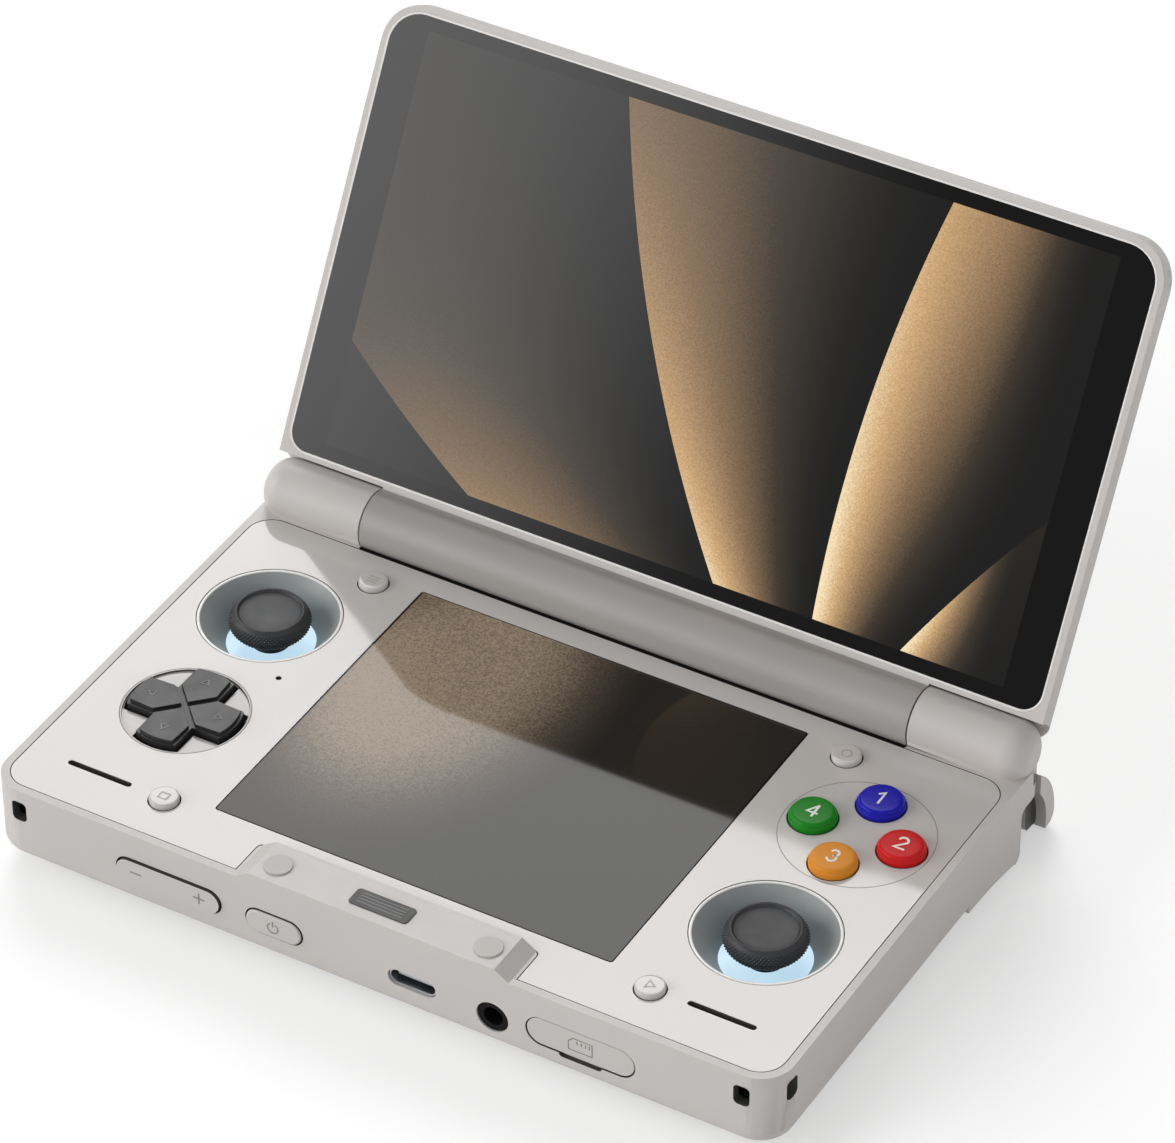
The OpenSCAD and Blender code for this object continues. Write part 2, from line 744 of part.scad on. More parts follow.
module fan_housing() color(dark_col)
    translate([fan_xy[0], fan_xy[1], 0])
        difference() {
            up(floor_z + 0.2, floor_z + 7.4) rounded(2 * fan_half, 2 * fan_half, 3);
            up(floor_z + 1, floor_z + 6.6)
                difference() {
                    union() {
                        circle(13);
                        translate([-12, 0]) square([24, fan_half + 1]);
                    }
                    circle(0.75);
                }
            up(floor_z, floor_z + 1.5) circle(10);
            up(floor_z, floor_z + 3.7) circle(1);
        }

module fan_impeller() color([0.2, 0.2, 0.22])
    translate([fan_xy[0], fan_xy[1], floor_z + 1.4]) {
        difference() {
            union() {
                cylinder(h = 4.6, r = 5);
                cylinder(h = 0.8, r = 12);
                for (a = [0:24:336])
                    rotate(a) translate([8.3, 0, 2.3]) rotate([0, 0, 20])
                        cube([7, 0.6, 4.6], center = true);
            }
            translate([0, 0, 2]) cylinder(h = 4, r = 0.8);
        }
    }

module heat_spreader() color([0.75, 0.45, 0.3]) {
    box(2, 40, -30, 3, 3.9, 5.1);
    box(28.2, 30.8, 2.9, 35.6, 3.9, 5.1);
    box(-1, 30.8, 35.5, 44.6, 3.9, 4.7);
    for (i = [0:11])
        box(-0.8 + 2.5 * i, -0.3 + 2.5 * i, 35.5, 44.6, 4.6, 9.6);
}

module speakers() color(dark_col)
    both_sides() translate([slot_x, slot_y, 0])
        difference() {
            up(8.2, deck_z - 0.05) rounded(16, 9, 1.5);
            up(deck_z - 1.5, deck_z) pill(13.5, 3);
        }

module microphone() color(metal_col)
    translate(mic_xy)
        difference() {
            up(deck_z - 1.1, deck_z) square(3.4, center = true);
            up(deck_z - 0.6, deck_z + 1) circle(0.5);
        }

module vibration_motor() color(metal_col)
    translate([-60, 29]) up(board_z + board_t, board_z + board_t + 3) circle(5);

module case_screws() color(metal_col)
    for (p = screw_xy) translate([p[0], p[1], 0])
        difference() {
            union() {
                up(0.4, 1.2) circle(1.9);
                up(1.15, 7.6) circle(screw_r);
            }
            up(0, 0.8) circle(0.8, $fn = 6);
        }

module hinge_brackets() color(metal_col)
    both_sides() translate([knuckle_from + 0.2, hinge_y, hinge_z]) rotate([0, 90, 0])
        difference() {
            cylinder(h = 13.7, r = 3.15);
            translate([0, 0, -1]) cylinder(h = 13, r = shaft_r + 0.05);
        }

// ---- shoulder keys and triggers ----

module shoulder_pins() color(metal_col)
    both_sides() {
        pin(pin_from + 0.2, trigger_from - 0.8, pin_z);
        pin(trigger_from - 1.2, side_x - 1, trigger_pin_z);
    }

module pin(x0, x1, z)
    translate([x0, pin_y, z]) rotate([0, 90, 0]) cylinder(h = x1 - x0, r = pin_r);

module shoulder_key() color(shell_col)
    difference() {
        along_x(key_from, key_to) {
            intersection() {
                translate([pin_y - 6.6, 6.4]) circle(12.2);
                translate([pin_y + 3.1, 3.2]) square([4, 6.5]);
            }
            translate([pin_y, pin_z]) circle(hub_r);
            translate([pin_y, pin_z - hub_r]) square([4, 2 * hub_r]);
        }
        translate([key_from - 1, pin_y, pin_z]) rotate([0, 90, 0]) cylinder(h = 20, r = pin_r + 0.05);
    }

// the finger face is a curved skin, carried by a narrower web behind it
module trigger_face() {
    tip_r = 2;
    tip_y = pin_y + 5.8;
    intersection() {
        difference() {
            translate([back_y - 11, -0.3]) circle(trigger_arc);
            translate([back_y - 11, -0.3]) circle(trigger_arc - trigger_skin);
        }
        union() {
            translate([pin_y + 2.3, tip_r + trigger_low]) square([10, trigger_top - tip_r - trigger_low]);
            translate([pin_y + 2.3, trigger_low]) square([tip_y - pin_y - 2.3, 4]);
            translate([tip_y, trigger_low + tip_r]) circle(tip_r);
        }
    }
}

module trigger() color(shell_col)
    difference() {
        union() {
            along_x(trigger_from, trigger_to) trigger_face();
            along_x(trigger_from + 1, inner_x - 0.3) {
                polygon([[pin_y + 0.6, 8.5], [pin_y + 5, 8.5], [pin_y + 5.4, 2], [pin_y + 5.4, -1.9],
                         [pin_y + 1.6, -1.4], [pin_y + 0.8, -0.2]]);
                translate([pin_y, trigger_pin_z]) circle(hub_r);
                translate([pin_y, trigger_pin_z - hub_r]) square([4.4, 2 * hub_r]);
            }
        }
        translate([trigger_from - 1, pin_y, trigger_pin_z]) rotate([0, 90, 0])
            cylinder(h = 30, r = pin_r + 0.05);
    }

// ---- lid ----

module lid_outline() {
    low = 1.5;
    translate([0, low]) sheet(body_w, lid_top - low, 1, lid_r);
}

module lid_frame() color(shell_col)
    in_lid()
        difference() {
            union() {
                difference() {
                    up(lid_split, lid_face) lid_outline();
                    rotate([0, 90, 0]) cylinder(h = body_w + 2, r = lid_clear, center = true);
                }
                rotate([0, 90, 0]) cylinder(h = 2 * barrel_half, r = barrel_r, center = true);
                box(-barrel_half, barrel_half, 0, 8, lid_rear, lid_face);
            }
            translate([0, glass_up, lid_face - glass_t - 0.05])
                linear_extrude(3) translate([0, -seam]) sheet(glass_w + 2 * seam, glass_h + 2 * seam,
                                                              glass_r_low, glass_r_top);
            translate([0, glass_up + glass_h / 2, lid_split - 1])
                linear_extrude(5) rounded(panel_w + 2, panel_h + 0.6, 2);
            // seats of the shafts and space for the rolled flat cable
            rotate([0, 90, 0]) {
                cylinder(h = 2 * barrel_half - 44, r = 3.6, center = true);
                cylinder(h = 2 * barrel_half + 1, r = 2.42, center = true);
            }
        }

module lid_back() color(shell_col)
    in_lid()
        difference() {
            hull()
                for (s = [-1, 1]) {
                    translate([s * (side_x - lid_r), lid_top - lid_r, lid_rear + 2.9]) {
                        up(0, 0.05) circle(lid_r, $fn = 40);
                        rotate_extrude($fn = 40)
                            intersection() {
                                translate([lid_r - 2.9, 0]) circle(2.9, $fn = 24);
                                translate([0, -2.9]) square([lid_r, 2.9]);
                            }
                    }
                    translate([s * (side_x - 2.9), 1.5, lid_rear + 2.9])
                        rotate([-90, 0, 0])
                            linear_extrude(2) intersection() {
                                circle(2.9, $fn = 24);
                                translate([-2.9, -0.05]) square([5.8, 3]);
                            }
                }
            rotate([0, 90, 0]) cylinder(h = body_w + 2, r = lid_clear, center = true);
            box(-barrel_half - 0.05, barrel_half + 0.05, 0, 8.05, lid_rear - 1, 0);
            translate([0, (glass_up + lid_top) / 2 + 2, lid_rear + 1.2])
                linear_extrude(4) rounded(body_w - 4, lid_top - glass_up - 8, 4);
        }

module lid_glass() color(glass_col)
    in_lid() translate([0, glass_up, lid_face - glass_t])
        linear_extrude(glass_t) sheet(glass_w, glass_h, glass_r_low, glass_r_top);

module upper_display() color(metal_col)
    in_lid() translate([0, glass_up + glass_h / 2, lid_face - glass_t - 0.05 - panel_t])
        linear_extrude(panel_t) rounded(panel_w, panel_h, 1.5);

module hinge_shafts() color(metal_col)
    translate([0, hinge_y, hinge_z]) both_sides() rotate([0, 90, 0]) {
        translate([0, 0, barrel_half - 20]) cylinder(h = 20, r = 2.4);
        translate([0, 0, barrel_half - 1]) cylinder(h = 12.5, r = shaft_r);
    }

module display_flex() color([0.7, 0.45, 0.15])
    translate([0, hinge_y, hinge_z]) rotate([0, 90, 0])
        difference() {
            cylinder(h = 46, r = 2.9, center = true);
            cylinder(h = 48, r = 2.5, center = true);
        }

lower_cover();
base_frame();
faceplate();
lower_glass();
lower_display();
rest_bumpers();
badge_plate();
button_bezel();
dpad_bezel();
stick_bezels();
led_rings();
stick_housings();
main_board();
battery();
heat_spreader();
fan_housing();
usb_socket();
audio_jack();
card_reader();
speakers();
microphone();
vibration_motor();
key_boards();
key_membranes();
side_switches();
case_screws();
rubber_feet();
hinge_brackets();
shoulder_pins();
fan_impeller();
action_button(0);  // button_left
action_button(1);  // button_top
action_button(2);  // button_right
action_button(3);  // button_bottom
menu_key(-1, key_back_y);  // menu_key_back_left
menu_key(1, key_back_y);  // menu_key_back_right
menu_key(-1, key_front_y);  // menu_key_front_left
menu_key(1, key_front_y);  // menu_key_front_right
dpad_pivot();
dpad_cross();
stick_yoke(stick_xy[0]);  // stick_yoke_left
stick_rocker(stick_xy[0]);  // stick_rocker_left
stick_cap(stick_xy[0]);  // stick_cap_left
stick_yoke(stick_xy[1]);  // stick_yoke_right
stick_rocker(stick_xy[1]);  // stick_rocker_right
stick_cap(stick_xy[1]);  // stick_cap_right
volume_rocker();
power_button();
card_cover();
mirror([1, 0, 0]) shoulder_key();  // shoulder_left
shoulder_key();  // shoulder_right
mirror([1, 0, 0]) trigger();  // trigger_left
trigger();  // trigger_right
lid_frame();
lid_back();
lid_glass();
upper_display();
hinge_shafts();
display_flex();
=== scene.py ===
"""Clamshell handheld game console: finishes, edge rounding and small details.

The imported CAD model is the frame. Everything here is in metres in that frame:
X along the hinge, Y to the back, Z up, origin in the middle of the underside.
"""
import json
import math

import bmesh
import bpy
from mathutils import Matrix, Vector


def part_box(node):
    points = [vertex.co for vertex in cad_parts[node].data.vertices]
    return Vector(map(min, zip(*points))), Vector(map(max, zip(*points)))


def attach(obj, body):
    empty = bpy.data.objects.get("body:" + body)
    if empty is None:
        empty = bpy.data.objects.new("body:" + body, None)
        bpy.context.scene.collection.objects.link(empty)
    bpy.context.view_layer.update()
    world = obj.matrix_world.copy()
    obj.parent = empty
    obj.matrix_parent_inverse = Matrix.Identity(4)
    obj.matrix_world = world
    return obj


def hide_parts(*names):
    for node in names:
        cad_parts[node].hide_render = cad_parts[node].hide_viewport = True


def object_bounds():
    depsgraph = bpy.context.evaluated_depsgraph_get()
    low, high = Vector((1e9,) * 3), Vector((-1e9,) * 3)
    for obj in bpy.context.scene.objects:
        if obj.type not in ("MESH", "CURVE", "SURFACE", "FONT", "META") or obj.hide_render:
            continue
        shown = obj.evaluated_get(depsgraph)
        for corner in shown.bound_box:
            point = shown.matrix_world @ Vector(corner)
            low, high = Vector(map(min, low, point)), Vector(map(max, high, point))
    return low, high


MM = 0.001
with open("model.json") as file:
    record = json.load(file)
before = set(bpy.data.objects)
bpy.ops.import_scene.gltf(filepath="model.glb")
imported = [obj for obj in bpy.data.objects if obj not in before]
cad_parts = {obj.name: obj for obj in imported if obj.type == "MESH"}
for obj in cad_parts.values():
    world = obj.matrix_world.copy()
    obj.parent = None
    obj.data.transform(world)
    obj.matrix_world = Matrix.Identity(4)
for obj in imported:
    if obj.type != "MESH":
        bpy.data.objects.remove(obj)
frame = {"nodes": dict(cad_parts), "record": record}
CAD_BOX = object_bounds()
NODES = frame["nodes"]
RECORD = frame["record"]
BODY_OF = {n: b for b, nodes in RECORD["behaviour"]["bodies"].items() for n in nodes}
SLOT_OF = {s["node"]: s["material_slot"] for s in RECORD["subparts"]}
JOINTS = {j["name"]: j for j in RECORD["behaviour"]["joints"]}


# ---- places worked out from the frame ----

def low(node):
    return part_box(node)[0]


def high(node):
    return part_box(node)[1]


def middle(node):
    return (low(node) + high(node)) / 2


FACE_Z = high("faceplate").z
FRONT_Y = low("base_frame").y
SIDE_X = high("base_frame").x
HINGE = Vector(JOINTS["lid_hinge"]["pos_m"])
OPEN = math.radians(-JOINTS["lid_hinge"]["range_deg"][0])
LID_U = Vector((0, -math.cos(OPEN), math.sin(OPEN)))
LID_N = Vector((0, -LID_U.z, LID_U.y))
UP = Vector((0, 0, 1))
BODY_R = 6 * MM       # corner radius of the base, seen from above
BARREL_R = 5.6 * MM
BARREL_HALF = 53.7 * MM
LID_FACE = 0.4 * MM   # the lid's face, in front of the plane through the hinge axis
KEY_BACK = 0.06 * MM  # the front keys stand back by this, so that their signs stay in the CAD box


def lid_point(x, u, n):
    """A point on the lid: across, up from the hinge axis, out of the screen."""
    return HINGE + Vector((x, 0, 0)) + LID_U * u + LID_N * n


def to_lid(p):
    q = Vector(p) - HINGE
    return Vector((q.x, q.dot(LID_U), q.dot(LID_N)))


def arm(radius, turn, height=0.0):
    """The point at a radius and an angle about the Z axis."""
    return Vector((radius * math.cos(turn), radius * math.sin(turn), height))


# ---- camera, floor and lights ----

LENS_MM = 197.28
SENSOR_MM = 36
CLIP = (0.05, 50)
CAMERA_AT = Vector((0.4263, -0.6944, 0.71223))
AZIMUTH = math.radians(-30.72)
ELEVATION = math.radians(38.85)
ROLL = math.radians(0.59)


def make_camera():
    forward = Vector((math.sin(AZIMUTH) * math.cos(ELEVATION),
                      math.cos(AZIMUTH) * math.cos(ELEVATION), -math.sin(ELEVATION)))
    across = forward.cross(UP).normalized()
    down = forward.cross(across)
    right = across * math.cos(ROLL) + down * math.sin(ROLL)
    down = down * math.cos(ROLL) - across * math.sin(ROLL)
    data = bpy.data.cameras.new("camera")
    data.lens = LENS_MM
    data.sensor_width = SENSOR_MM
    data.clip_start, data.clip_end = CLIP
    cam = bpy.data.objects.new("camera", data)
    turn = Matrix((right, -down, -forward)).transposed()
    cam.matrix_world = Matrix.Translation(CAMERA_AT) @ turn.to_4x4()
    bpy.context.collection.objects.link(cam)
    bpy.context.scene.camera = cam


# soft lights in the world: direction, cosines at the core and the outer edge, radiance
BACK_BOX = ((-0.40, 0.645, 0.65), 0.978, 0.940, 5.2)
LEFT_BOX = ((-0.75, -0.60, 0.30), 0.929, 0.890, 3.6)
RIGHT_FILL = ((0.80, -0.50, 0.30), 0.90, 0.40, 0.52)
ROOM = 0.27
BACKDROP_FADE = (0.06, 0.20)  # the white backdrop ends between these sines of height
FLOOR_PAINT = (0.72, 0.72, 0.72, 1)
FLOOR_LIFT = 0.42
FLOOR_HALF = 3.0
WHITE = (1, 1, 1, 1)


class Tree:
    """Small helper that adds nodes to a node tree and links them."""

    def __init__(self, tree):
        self.tree = tree

    def node(self, kind, **settings):
        made = self.tree.nodes.new(kind)
        for key, value in settings.items():
            setattr(made, key, value)
        return made

    def link(self, source, target):
        self.tree.links.new(source, target)

    def math(self, operation, *values):
        node = self.node("ShaderNodeMath", operation=operation)
        for socket, value in zip(node.inputs, values):
            if isinstance(value, (int, float)):
                socket.default_value = value
            else:
                self.link(value, socket)
        return node.outputs[0]

    def dot(self, vector, direction):
        node = self.node("ShaderNodeVectorMath", operation="DOT_PRODUCT")
        self.link(vector, node.inputs[0])
        node.inputs[1].default_value = direction
        return node.outputs["Value"]

    def range(self, value, low_in, high_in, low_out, high_out, smooth=False):
        node = self.node("ShaderNodeMapRange")
        if smooth:
            node.interpolation_type = "SMOOTHSTEP"
        for name, number in (("From Min", low_in), ("From Max", high_in),
                             ("To Min", low_out), ("To Max", high_out)):
            node.inputs[name].default_value = number
        self.link(value, node.inputs["Value"])
        return node.outputs["Result"]

    def mirrored_ray(self):
        """1 for rays that metal or glass sends on, 0 for the rest."""
        path = self.node("ShaderNodeLightPath").outputs
        return self.math("MAXIMUM", path["Is Glossy Ray"], path["Is Transmission Ray"])


def make_world():
    """A grey room with three soft lights, and a white backdrop low down."""
    world = bpy.data.worlds.new("studio")
    world.use_nodes = True
    world.node_tree.nodes.clear()
    t = Tree(world.node_tree)
    toward = t.node("ShaderNodeTexCoord").outputs["Generated"]
    room = None
    for direction, core, edge, radiance in (BACK_BOX, LEFT_BOX, RIGHT_FILL):
        nearness = t.dot(toward, Vector(direction).normalized())
        glow = t.range(nearness, edge, core, 0, radiance, True)
        room = t.math("ADD", room, glow) if room else t.math("ADD", glow, ROOM)
    backdrop = t.math("MULTIPLY", t.range(t.dot(toward, UP), *BACKDROP_FADE, 1.0, 0.0, True),
                      t.mirrored_ray())
    room = t.math("MAXIMUM", room, backdrop)
    light = t.node("ShaderNodeBackground")
    light.inputs["Color"].default_value = WHITE
    t.link(room, light.inputs["Strength"])
    seen = t.node("ShaderNodeBackground")
    seen.inputs["Color"].default_value = WHITE
    mix = t.node("ShaderNodeMixShader")
    t.link(t.node("ShaderNodeLightPath").outputs["Is Camera Ray"], mix.inputs[0])
    t.link(light.outputs[0], mix.inputs[1])
    t.link(seen.outputs[0], mix.inputs[2])
    t.link(mix.outputs[0], t.node("ShaderNodeOutputWorld").inputs["Surface"])
    bpy.context.scene.world = world


def make_floor():
    """A pale floor at the feet. What the camera sees of it is lifted to near white."""
    mat = bpy.data.materials.new("floor")
    mat.use_nodes = True
    mat.node_tree.nodes.clear()
    t = Tree(mat.node_tree)
    paint = t.node("ShaderNodeBsdfDiffuse")
    paint.inputs["Color"].default_value = FLOOR_PAINT
    glow = t.node("ShaderNodeEmission")
    glow.inputs["Strength"].default_value = FLOOR_LIFT
    lift = t.node("ShaderNodeAddShader")
    mix = t.node("ShaderNodeMixShader")
    camera = t.node("ShaderNodeLightPath").outputs["Is Camera Ray"]
    t.link(paint.outputs[0], lift.inputs[0])
    t.link(glow.outputs[0], lift.inputs[1])
    t.link(t.math("MAXIMUM", camera, t.mirrored_ray()), mix.inputs[0])
    t.link(paint.outputs[0], mix.inputs[1])
    t.link(lift.outputs[0], mix.inputs[2])
    t.link(mix.outputs[0], t.node("ShaderNodeOutputMaterial").inputs["Surface"])
    bm = bmesh.new()
    corners = [(-1, -1), (1, -1), (1, 1), (-1, 1)]
    bm.faces.new([bm.verts.new((x * FLOOR_HALF, y * FLOOR_HALF, CAD_BOX[0].z))
                  for x, y in corners])
    mesh = bpy.data.meshes.new("floor")
    bm.to_mesh(mesh)
    bm.free()
    mesh.materials.append(mat)
    floor = bpy.data.objects.new("floor", mesh)
    bpy.context.collection.objects.link(floor)


# ---- materials ----

MATERIALS = {}


class Shader(Tree):
    """A material whose node tree is built a step at a time."""

    def __init__(self, name):
        self.mat = bpy.data.materials.new(name)
        self.mat.use_nodes = True
        super().__init__(self.mat.node_tree)
        self.bsdf = self.tree.nodes["Principled BSDF"]
        self.place = self.node("ShaderNodeTexCoord").outputs["Object"]
        MATERIALS[name] = self.mat

    def set(self, **values):
        for key, value in values.items():
            self.bsdf.inputs[key.replace("_", " ")].default_value = value

    def noise(self, per_mm, detail=2.0):
        tex = self.node("ShaderNodeTexNoise")
        tex.inputs["Scale"].default_value = per_mm / MM
        tex.inputs["Detail"].default_value = detail
        self.link(self.place, tex.inputs["Vector"])
        return tex.outputs["Fac"]

    def ramp(self, value, stops):
        """A colour for each value, from (value, colour) stops."""
        ramp = self.node("ShaderNodeValToRGB")
        elements = ramp.color_ramp.elements
        elements[0].position, elements[0].color = stops[0][0], (*stops[0][1], 1)
        elements[1].position, elements[1].color = stops[-1][0], (*stops[-1][1], 1)
        for place, color in stops[1:-1]:
            elements.new(place).color = (*color, 1)
        self.link(value, ramp.inputs["Fac"])
        return ramp.outputs["Color"]

    def along(self, direction, start):
        """Distance of the surface point from start along a direction, in metres."""
        offset = Vector(start).dot(Vector(direction))
        return self.math("SUBTRACT", self.dot(self.place, direction), offset)

    def around(self, across, up, centre, squeeze=1.0):
        """Angle and distance from a centre; squeeze shortens the upward distance."""
        dx = self.math("SUBTRACT", across, centre[0])
        dy = self.math("MULTIPLY", self.math("SUBTRACT", up, centre[1]), squeeze)
        reach = self.math("SQRT", self.math("ADD", self.math("MULTIPLY", dx, dx),
                                            self.math("MULTIPLY", dy, dy)))
        return self.math("ARCTAN2", dy, dx), reach

    def fan(self, angle, reach, pleats, sweep):
        """Count of folds of a pleated fan; sweep bends them."""
        return self.math("ADD", self.math("MULTIPLY", angle, pleats),
                         self.math("MULTIPLY", reach, sweep))

    def inside(self, across, up, half_w, half_h):
        """1 within a centred rectangle, 0 around it."""
        return self.math("MULTIPLY", self.math("LESS_THAN", self.math("ABSOLUTE", across), half_w),
                         self.math("LESS_THAN", self.math("ABSOLUTE", up), half_h))

    def show(self, color, mask):
        """Emit the colour where mask is 1."""
        mix = self.node("ShaderNodeMix", data_type="RGBA")
        self.link(mask, mix.inputs["Factor"])
        mix.inputs["A"].default_value = (0, 0, 0, 1)
        self.link(color, mix.inputs["B"])
        self.link(mix.outputs["Result"], self.bsdf.inputs["Emission Color"])
        self.set(Emission_Strength=1.0)

    def bump(self, height, distance_mm):
        node = self.node("ShaderNodeBump")
        node.inputs["Distance"].default_value = distance_mm * MM
        self.link(height, node.inputs["Height"])
        self.link(node.outputs["Normal"], self.bsdf.inputs["Normal"])

    def mottle(self, color, spread, per_mm):
        """The base colour, a little lighter and darker in soft patches."""
        pale = tuple(min(1, c * (1 + spread)) for c in color)
        dark = tuple(c * (1 - spread) for c in color)
        tint = self.ramp(self.noise(per_mm), [(0.3, dark), (0.7, pale)])
        self.link(tint, self.bsdf.inputs["Base Color"])


def plastic(name, color, rough, grain_mm=0.22, grain_depth=0.004, spec=0.5):
    """Moulded plastic: fine spark grain, soft colour drift and uneven sheen."""
    s = Shader(name)
    s.mottle(color, 0.02, 0.05)
    sheen = s.range(s.noise(0.4, 3), 0.25, 0.75, rough - 0.03, rough + 0.03, True)
    s.link(sheen, s.bsdf.inputs["Roughness"])
    s.bump(s.noise(1 / grain_mm, 1), grain_depth)
    s.set(Specular_IOR_Level=spec)


def gloss(name, color, rough=0.06, spec=0.5):
    """Polished plastic with a slight wave in its surface."""
    s = Shader(name)
    s.mottle(color, 0.015, 0.04)
    sheen = s.range(s.noise(0.08, 2), 0.25, 0.75, rough * 0.8, rough * 1.25, True)
    s.link(sheen, s.bsdf.inputs["Roughness"])
    s.bump(s.noise(0.12, 1), 0.0015)
    s.set(Specular_IOR_Level=spec)


def metal(name, color, rough, streak):
    """Bare metal with drawn or brushed streaks."""
    s = Shader(name)
    stretch = s.node("ShaderNodeVectorMath", operation="MULTIPLY")
    s.link(s.place, stretch.inputs[0])
    stretch.inputs[1].default_value = streak
    s.place = stretch.outputs["Vector"]
    s.mottle(color, 0.05, 0.8)
    sheen = s.range(s.noise(1.2, 2), 0.3, 0.7, rough - 0.06, rough + 0.08)
    s.link(sheen, s.bsdf.inputs["Roughness"])
    s.bump(s.noise(1.6, 2), 0.003)
    s.set(Metallic=1.0)


SHELL = (0.588, 0.56, 0.54)
FACE = (0.60, 0.575, 0.555)
KEYS = {"key_green": (0.009, 0.23, 0.013), "key_blue": (0.012, 0.012, 0.44),
        "key_red": (0.64, 0.013, 0.013), "key_orange": (0.76, 0.28, 0.024)}


def make_materials():
    plastic("shell", SHELL, 0.42)
    gloss("faceplate", FACE)
    # painted shade: a darker copy of the face colour for the D-pad inlay
    gloss("shaded_plate", tuple(0.82 * c for c in FACE), 0.12)
    # painted shade: a darker copy of the shell for the middle barrel, which the lid shades
    plastic("shaded_shell_barrel", tuple(0.64 * c for c in SHELL), 0.36)
    plastic("rubber_light", (0.58, 0.555, 0.535), 0.6, 0.15, 0.003)
    plastic("rubber_black", (0.022, 0.022, 0.024), 0.62, 0.12, 0.006)
    plastic("stick_black", (0.030, 0.031, 0.034), 0.5, 0.1, 0.008)
    plastic("pad_grey", (0.024, 0.024, 0.025), 0.42, 0.2, 0.003, spec=0.45)
    plastic("badge", (0.055, 0.054, 0.053), 0.5)
    plastic("black_plastic", (0.018, 0.018, 0.02), 0.45)
    plastic("port_black", (0.005, 0.005, 0.005), 0.6, spec=0.1)
    plastic("white_plastic", (0.7, 0.69, 0.66), 0.45)
    plastic("film", (0.5, 0.25, 0.06), 0.35)
    plastic("battery", (0.09, 0.09, 0.1), 0.4)
    # painted shade: near-black for the walls of gaps, slots, holes and pockets, where shade falls
    plastic("painted_shade_dark", (0.06, 0.058, 0.056), 0.6)
    # grey of the printed signs, also used for the painted shadow lines at the round inlays
    plastic("mark_and_shadow_grey", (0.26, 0.25, 0.24), 0.5)
    plastic("mark_soft", (0.42, 0.40, 0.385), 0.5)
    plastic("mark_pale", (0.86, 0.84, 0.80), 0.45)
    plastic("mark_dark", (0.13, 0.13, 0.132), 0.4)
    # painted shade: a darker copy of the shell colour for the trigger insides that look to the
    # front
    plastic("shaded_trigger_web", (0.50, 0.48, 0.465), 0.5)
    for name, color in KEYS.items():
        gloss(name, color, 0.3, spec=0.16)
    # pale colour of the dish lips and the lid glass bead; on the bead it is a painted highlight
    gloss("bead", (0.86, 0.84, 0.82), 0.25)
    metal("steel", (0.52, 0.53, 0.55), 0.32, (0.15, 1, 1))
    metal("copper", (0.72, 0.36, 0.2), 0.3, (1, 0.15, 1))
    make_dish()
    make_board()
    make_light_ring()
    make_upper_glass()
    make_lower_glass()
    make_display()


def make_dish():
    """Satin metal lacquer of the stick dishes, with a fine grain."""
    s = Shader("dish_grey")
    s.mottle((0.35, 0.37, 0.365), 0.07, 0.12)
    s.link(s.range(s.noise(0.5, 3), 0.3, 0.7, 0.42, 0.52), s.bsdf.inputs["Roughness"])
    s.bump(s.noise(3.0, 1), 0.002)
    s.set(Metallic=0.10, Specular_IOR_Level=0.2)


def make_board():
    """Solder resist with faint tracks under it."""
    s = Shader("board")
    wave = s.node("ShaderNodeTexWave", wave_type="BANDS", bands_direction="DIAGONAL")
    wave.inputs["Scale"].default_value = 500
    wave.inputs["Distortion"].default_value = 3
    s.link(s.place, wave.inputs["Vector"])
    tint = s.ramp(wave.outputs["Fac"], [(0.45, (0.006, 0.07, 0.035)), (0.6, (0.012, 0.12, 0.06))])
    s.link(tint, s.bsdf.inputs["Base Color"])
    s.bump(wave.outputs["Fac"], 0.02)
    s.set(Roughness=0.3, Coat_Weight=0.5)


def make_light_ring():
    """Milky ring lit from below, a little uneven around its turn."""
    s = Shader("light_ring")
    glow = s.ramp(s.noise(0.12), [(0.3, (0.47, 0.68, 0.82)), (0.7, (0.58, 0.77, 0.90))])
    s.link(glow, s.bsdf.inputs["Emission Color"])
    s.set(Base_Color=(0.05, 0.06, 0.07, 1), Roughness=0.45, Emission_Strength=1.0)


# half the width and height of the lit areas
UPPER_LIT = (66.4 * MM, 37.35 * MM)
LOWER_LIT = (37.6 * MM, 32.65 * MM)


def make_upper_glass():
    """Black glass over a lit panel: pleats of warm light that fan out on charcoal."""
    s = Shader("upper_glass")
    x = s.along((1, 0, 0), (0, 0, 0))
    v = s.along(tuple(LID_U), lid_point(0, to_lid(middle("upper_display")).y, 0))
    angle, reach = s.around(x, v, (34 * MM, -64 * MM))
    fold = s.math("POWER", s.math("FRACT", s.fan(angle, reach, 1.7, 3.5)), 2.4)
    light = s.math("MULTIPLY", fold, s.range(reach, 30 * MM, 125 * MM, 1.0, 0.42))
    side = s.math("MULTIPLY", s.range(x, -64 * MM, 30 * MM, 0.25, 1.0),
                  s.range(x, 46 * MM, 63 * MM, 1.0, 0.03, True))
    speck = s.range(s.noise(3.4, 2), 0.35, 0.65, 0.88, 1.10)
    light = s.math("MULTIPLY", s.math("MULTIPLY", light, side), speck)
    gold = s.ramp(light, [(0.0, (0.006, 0.006, 0.006)), (0.10, (0.045, 0.034, 0.023)),
                          (0.30, (0.24, 0.15, 0.08)), (0.6, (0.62, 0.39, 0.19)),
                          (0.9, (0.95, 0.76, 0.48))])
    s.show(gold, s.inside(x, v, *UPPER_LIT))
    s.link(s.range(s.noise(0.02), 0.3, 0.7, 0.03, 0.06), s.bsdf.inputs["Roughness"])
    s.set(Base_Color=(0.004, 0.004, 0.004, 1), IOR=1.4)


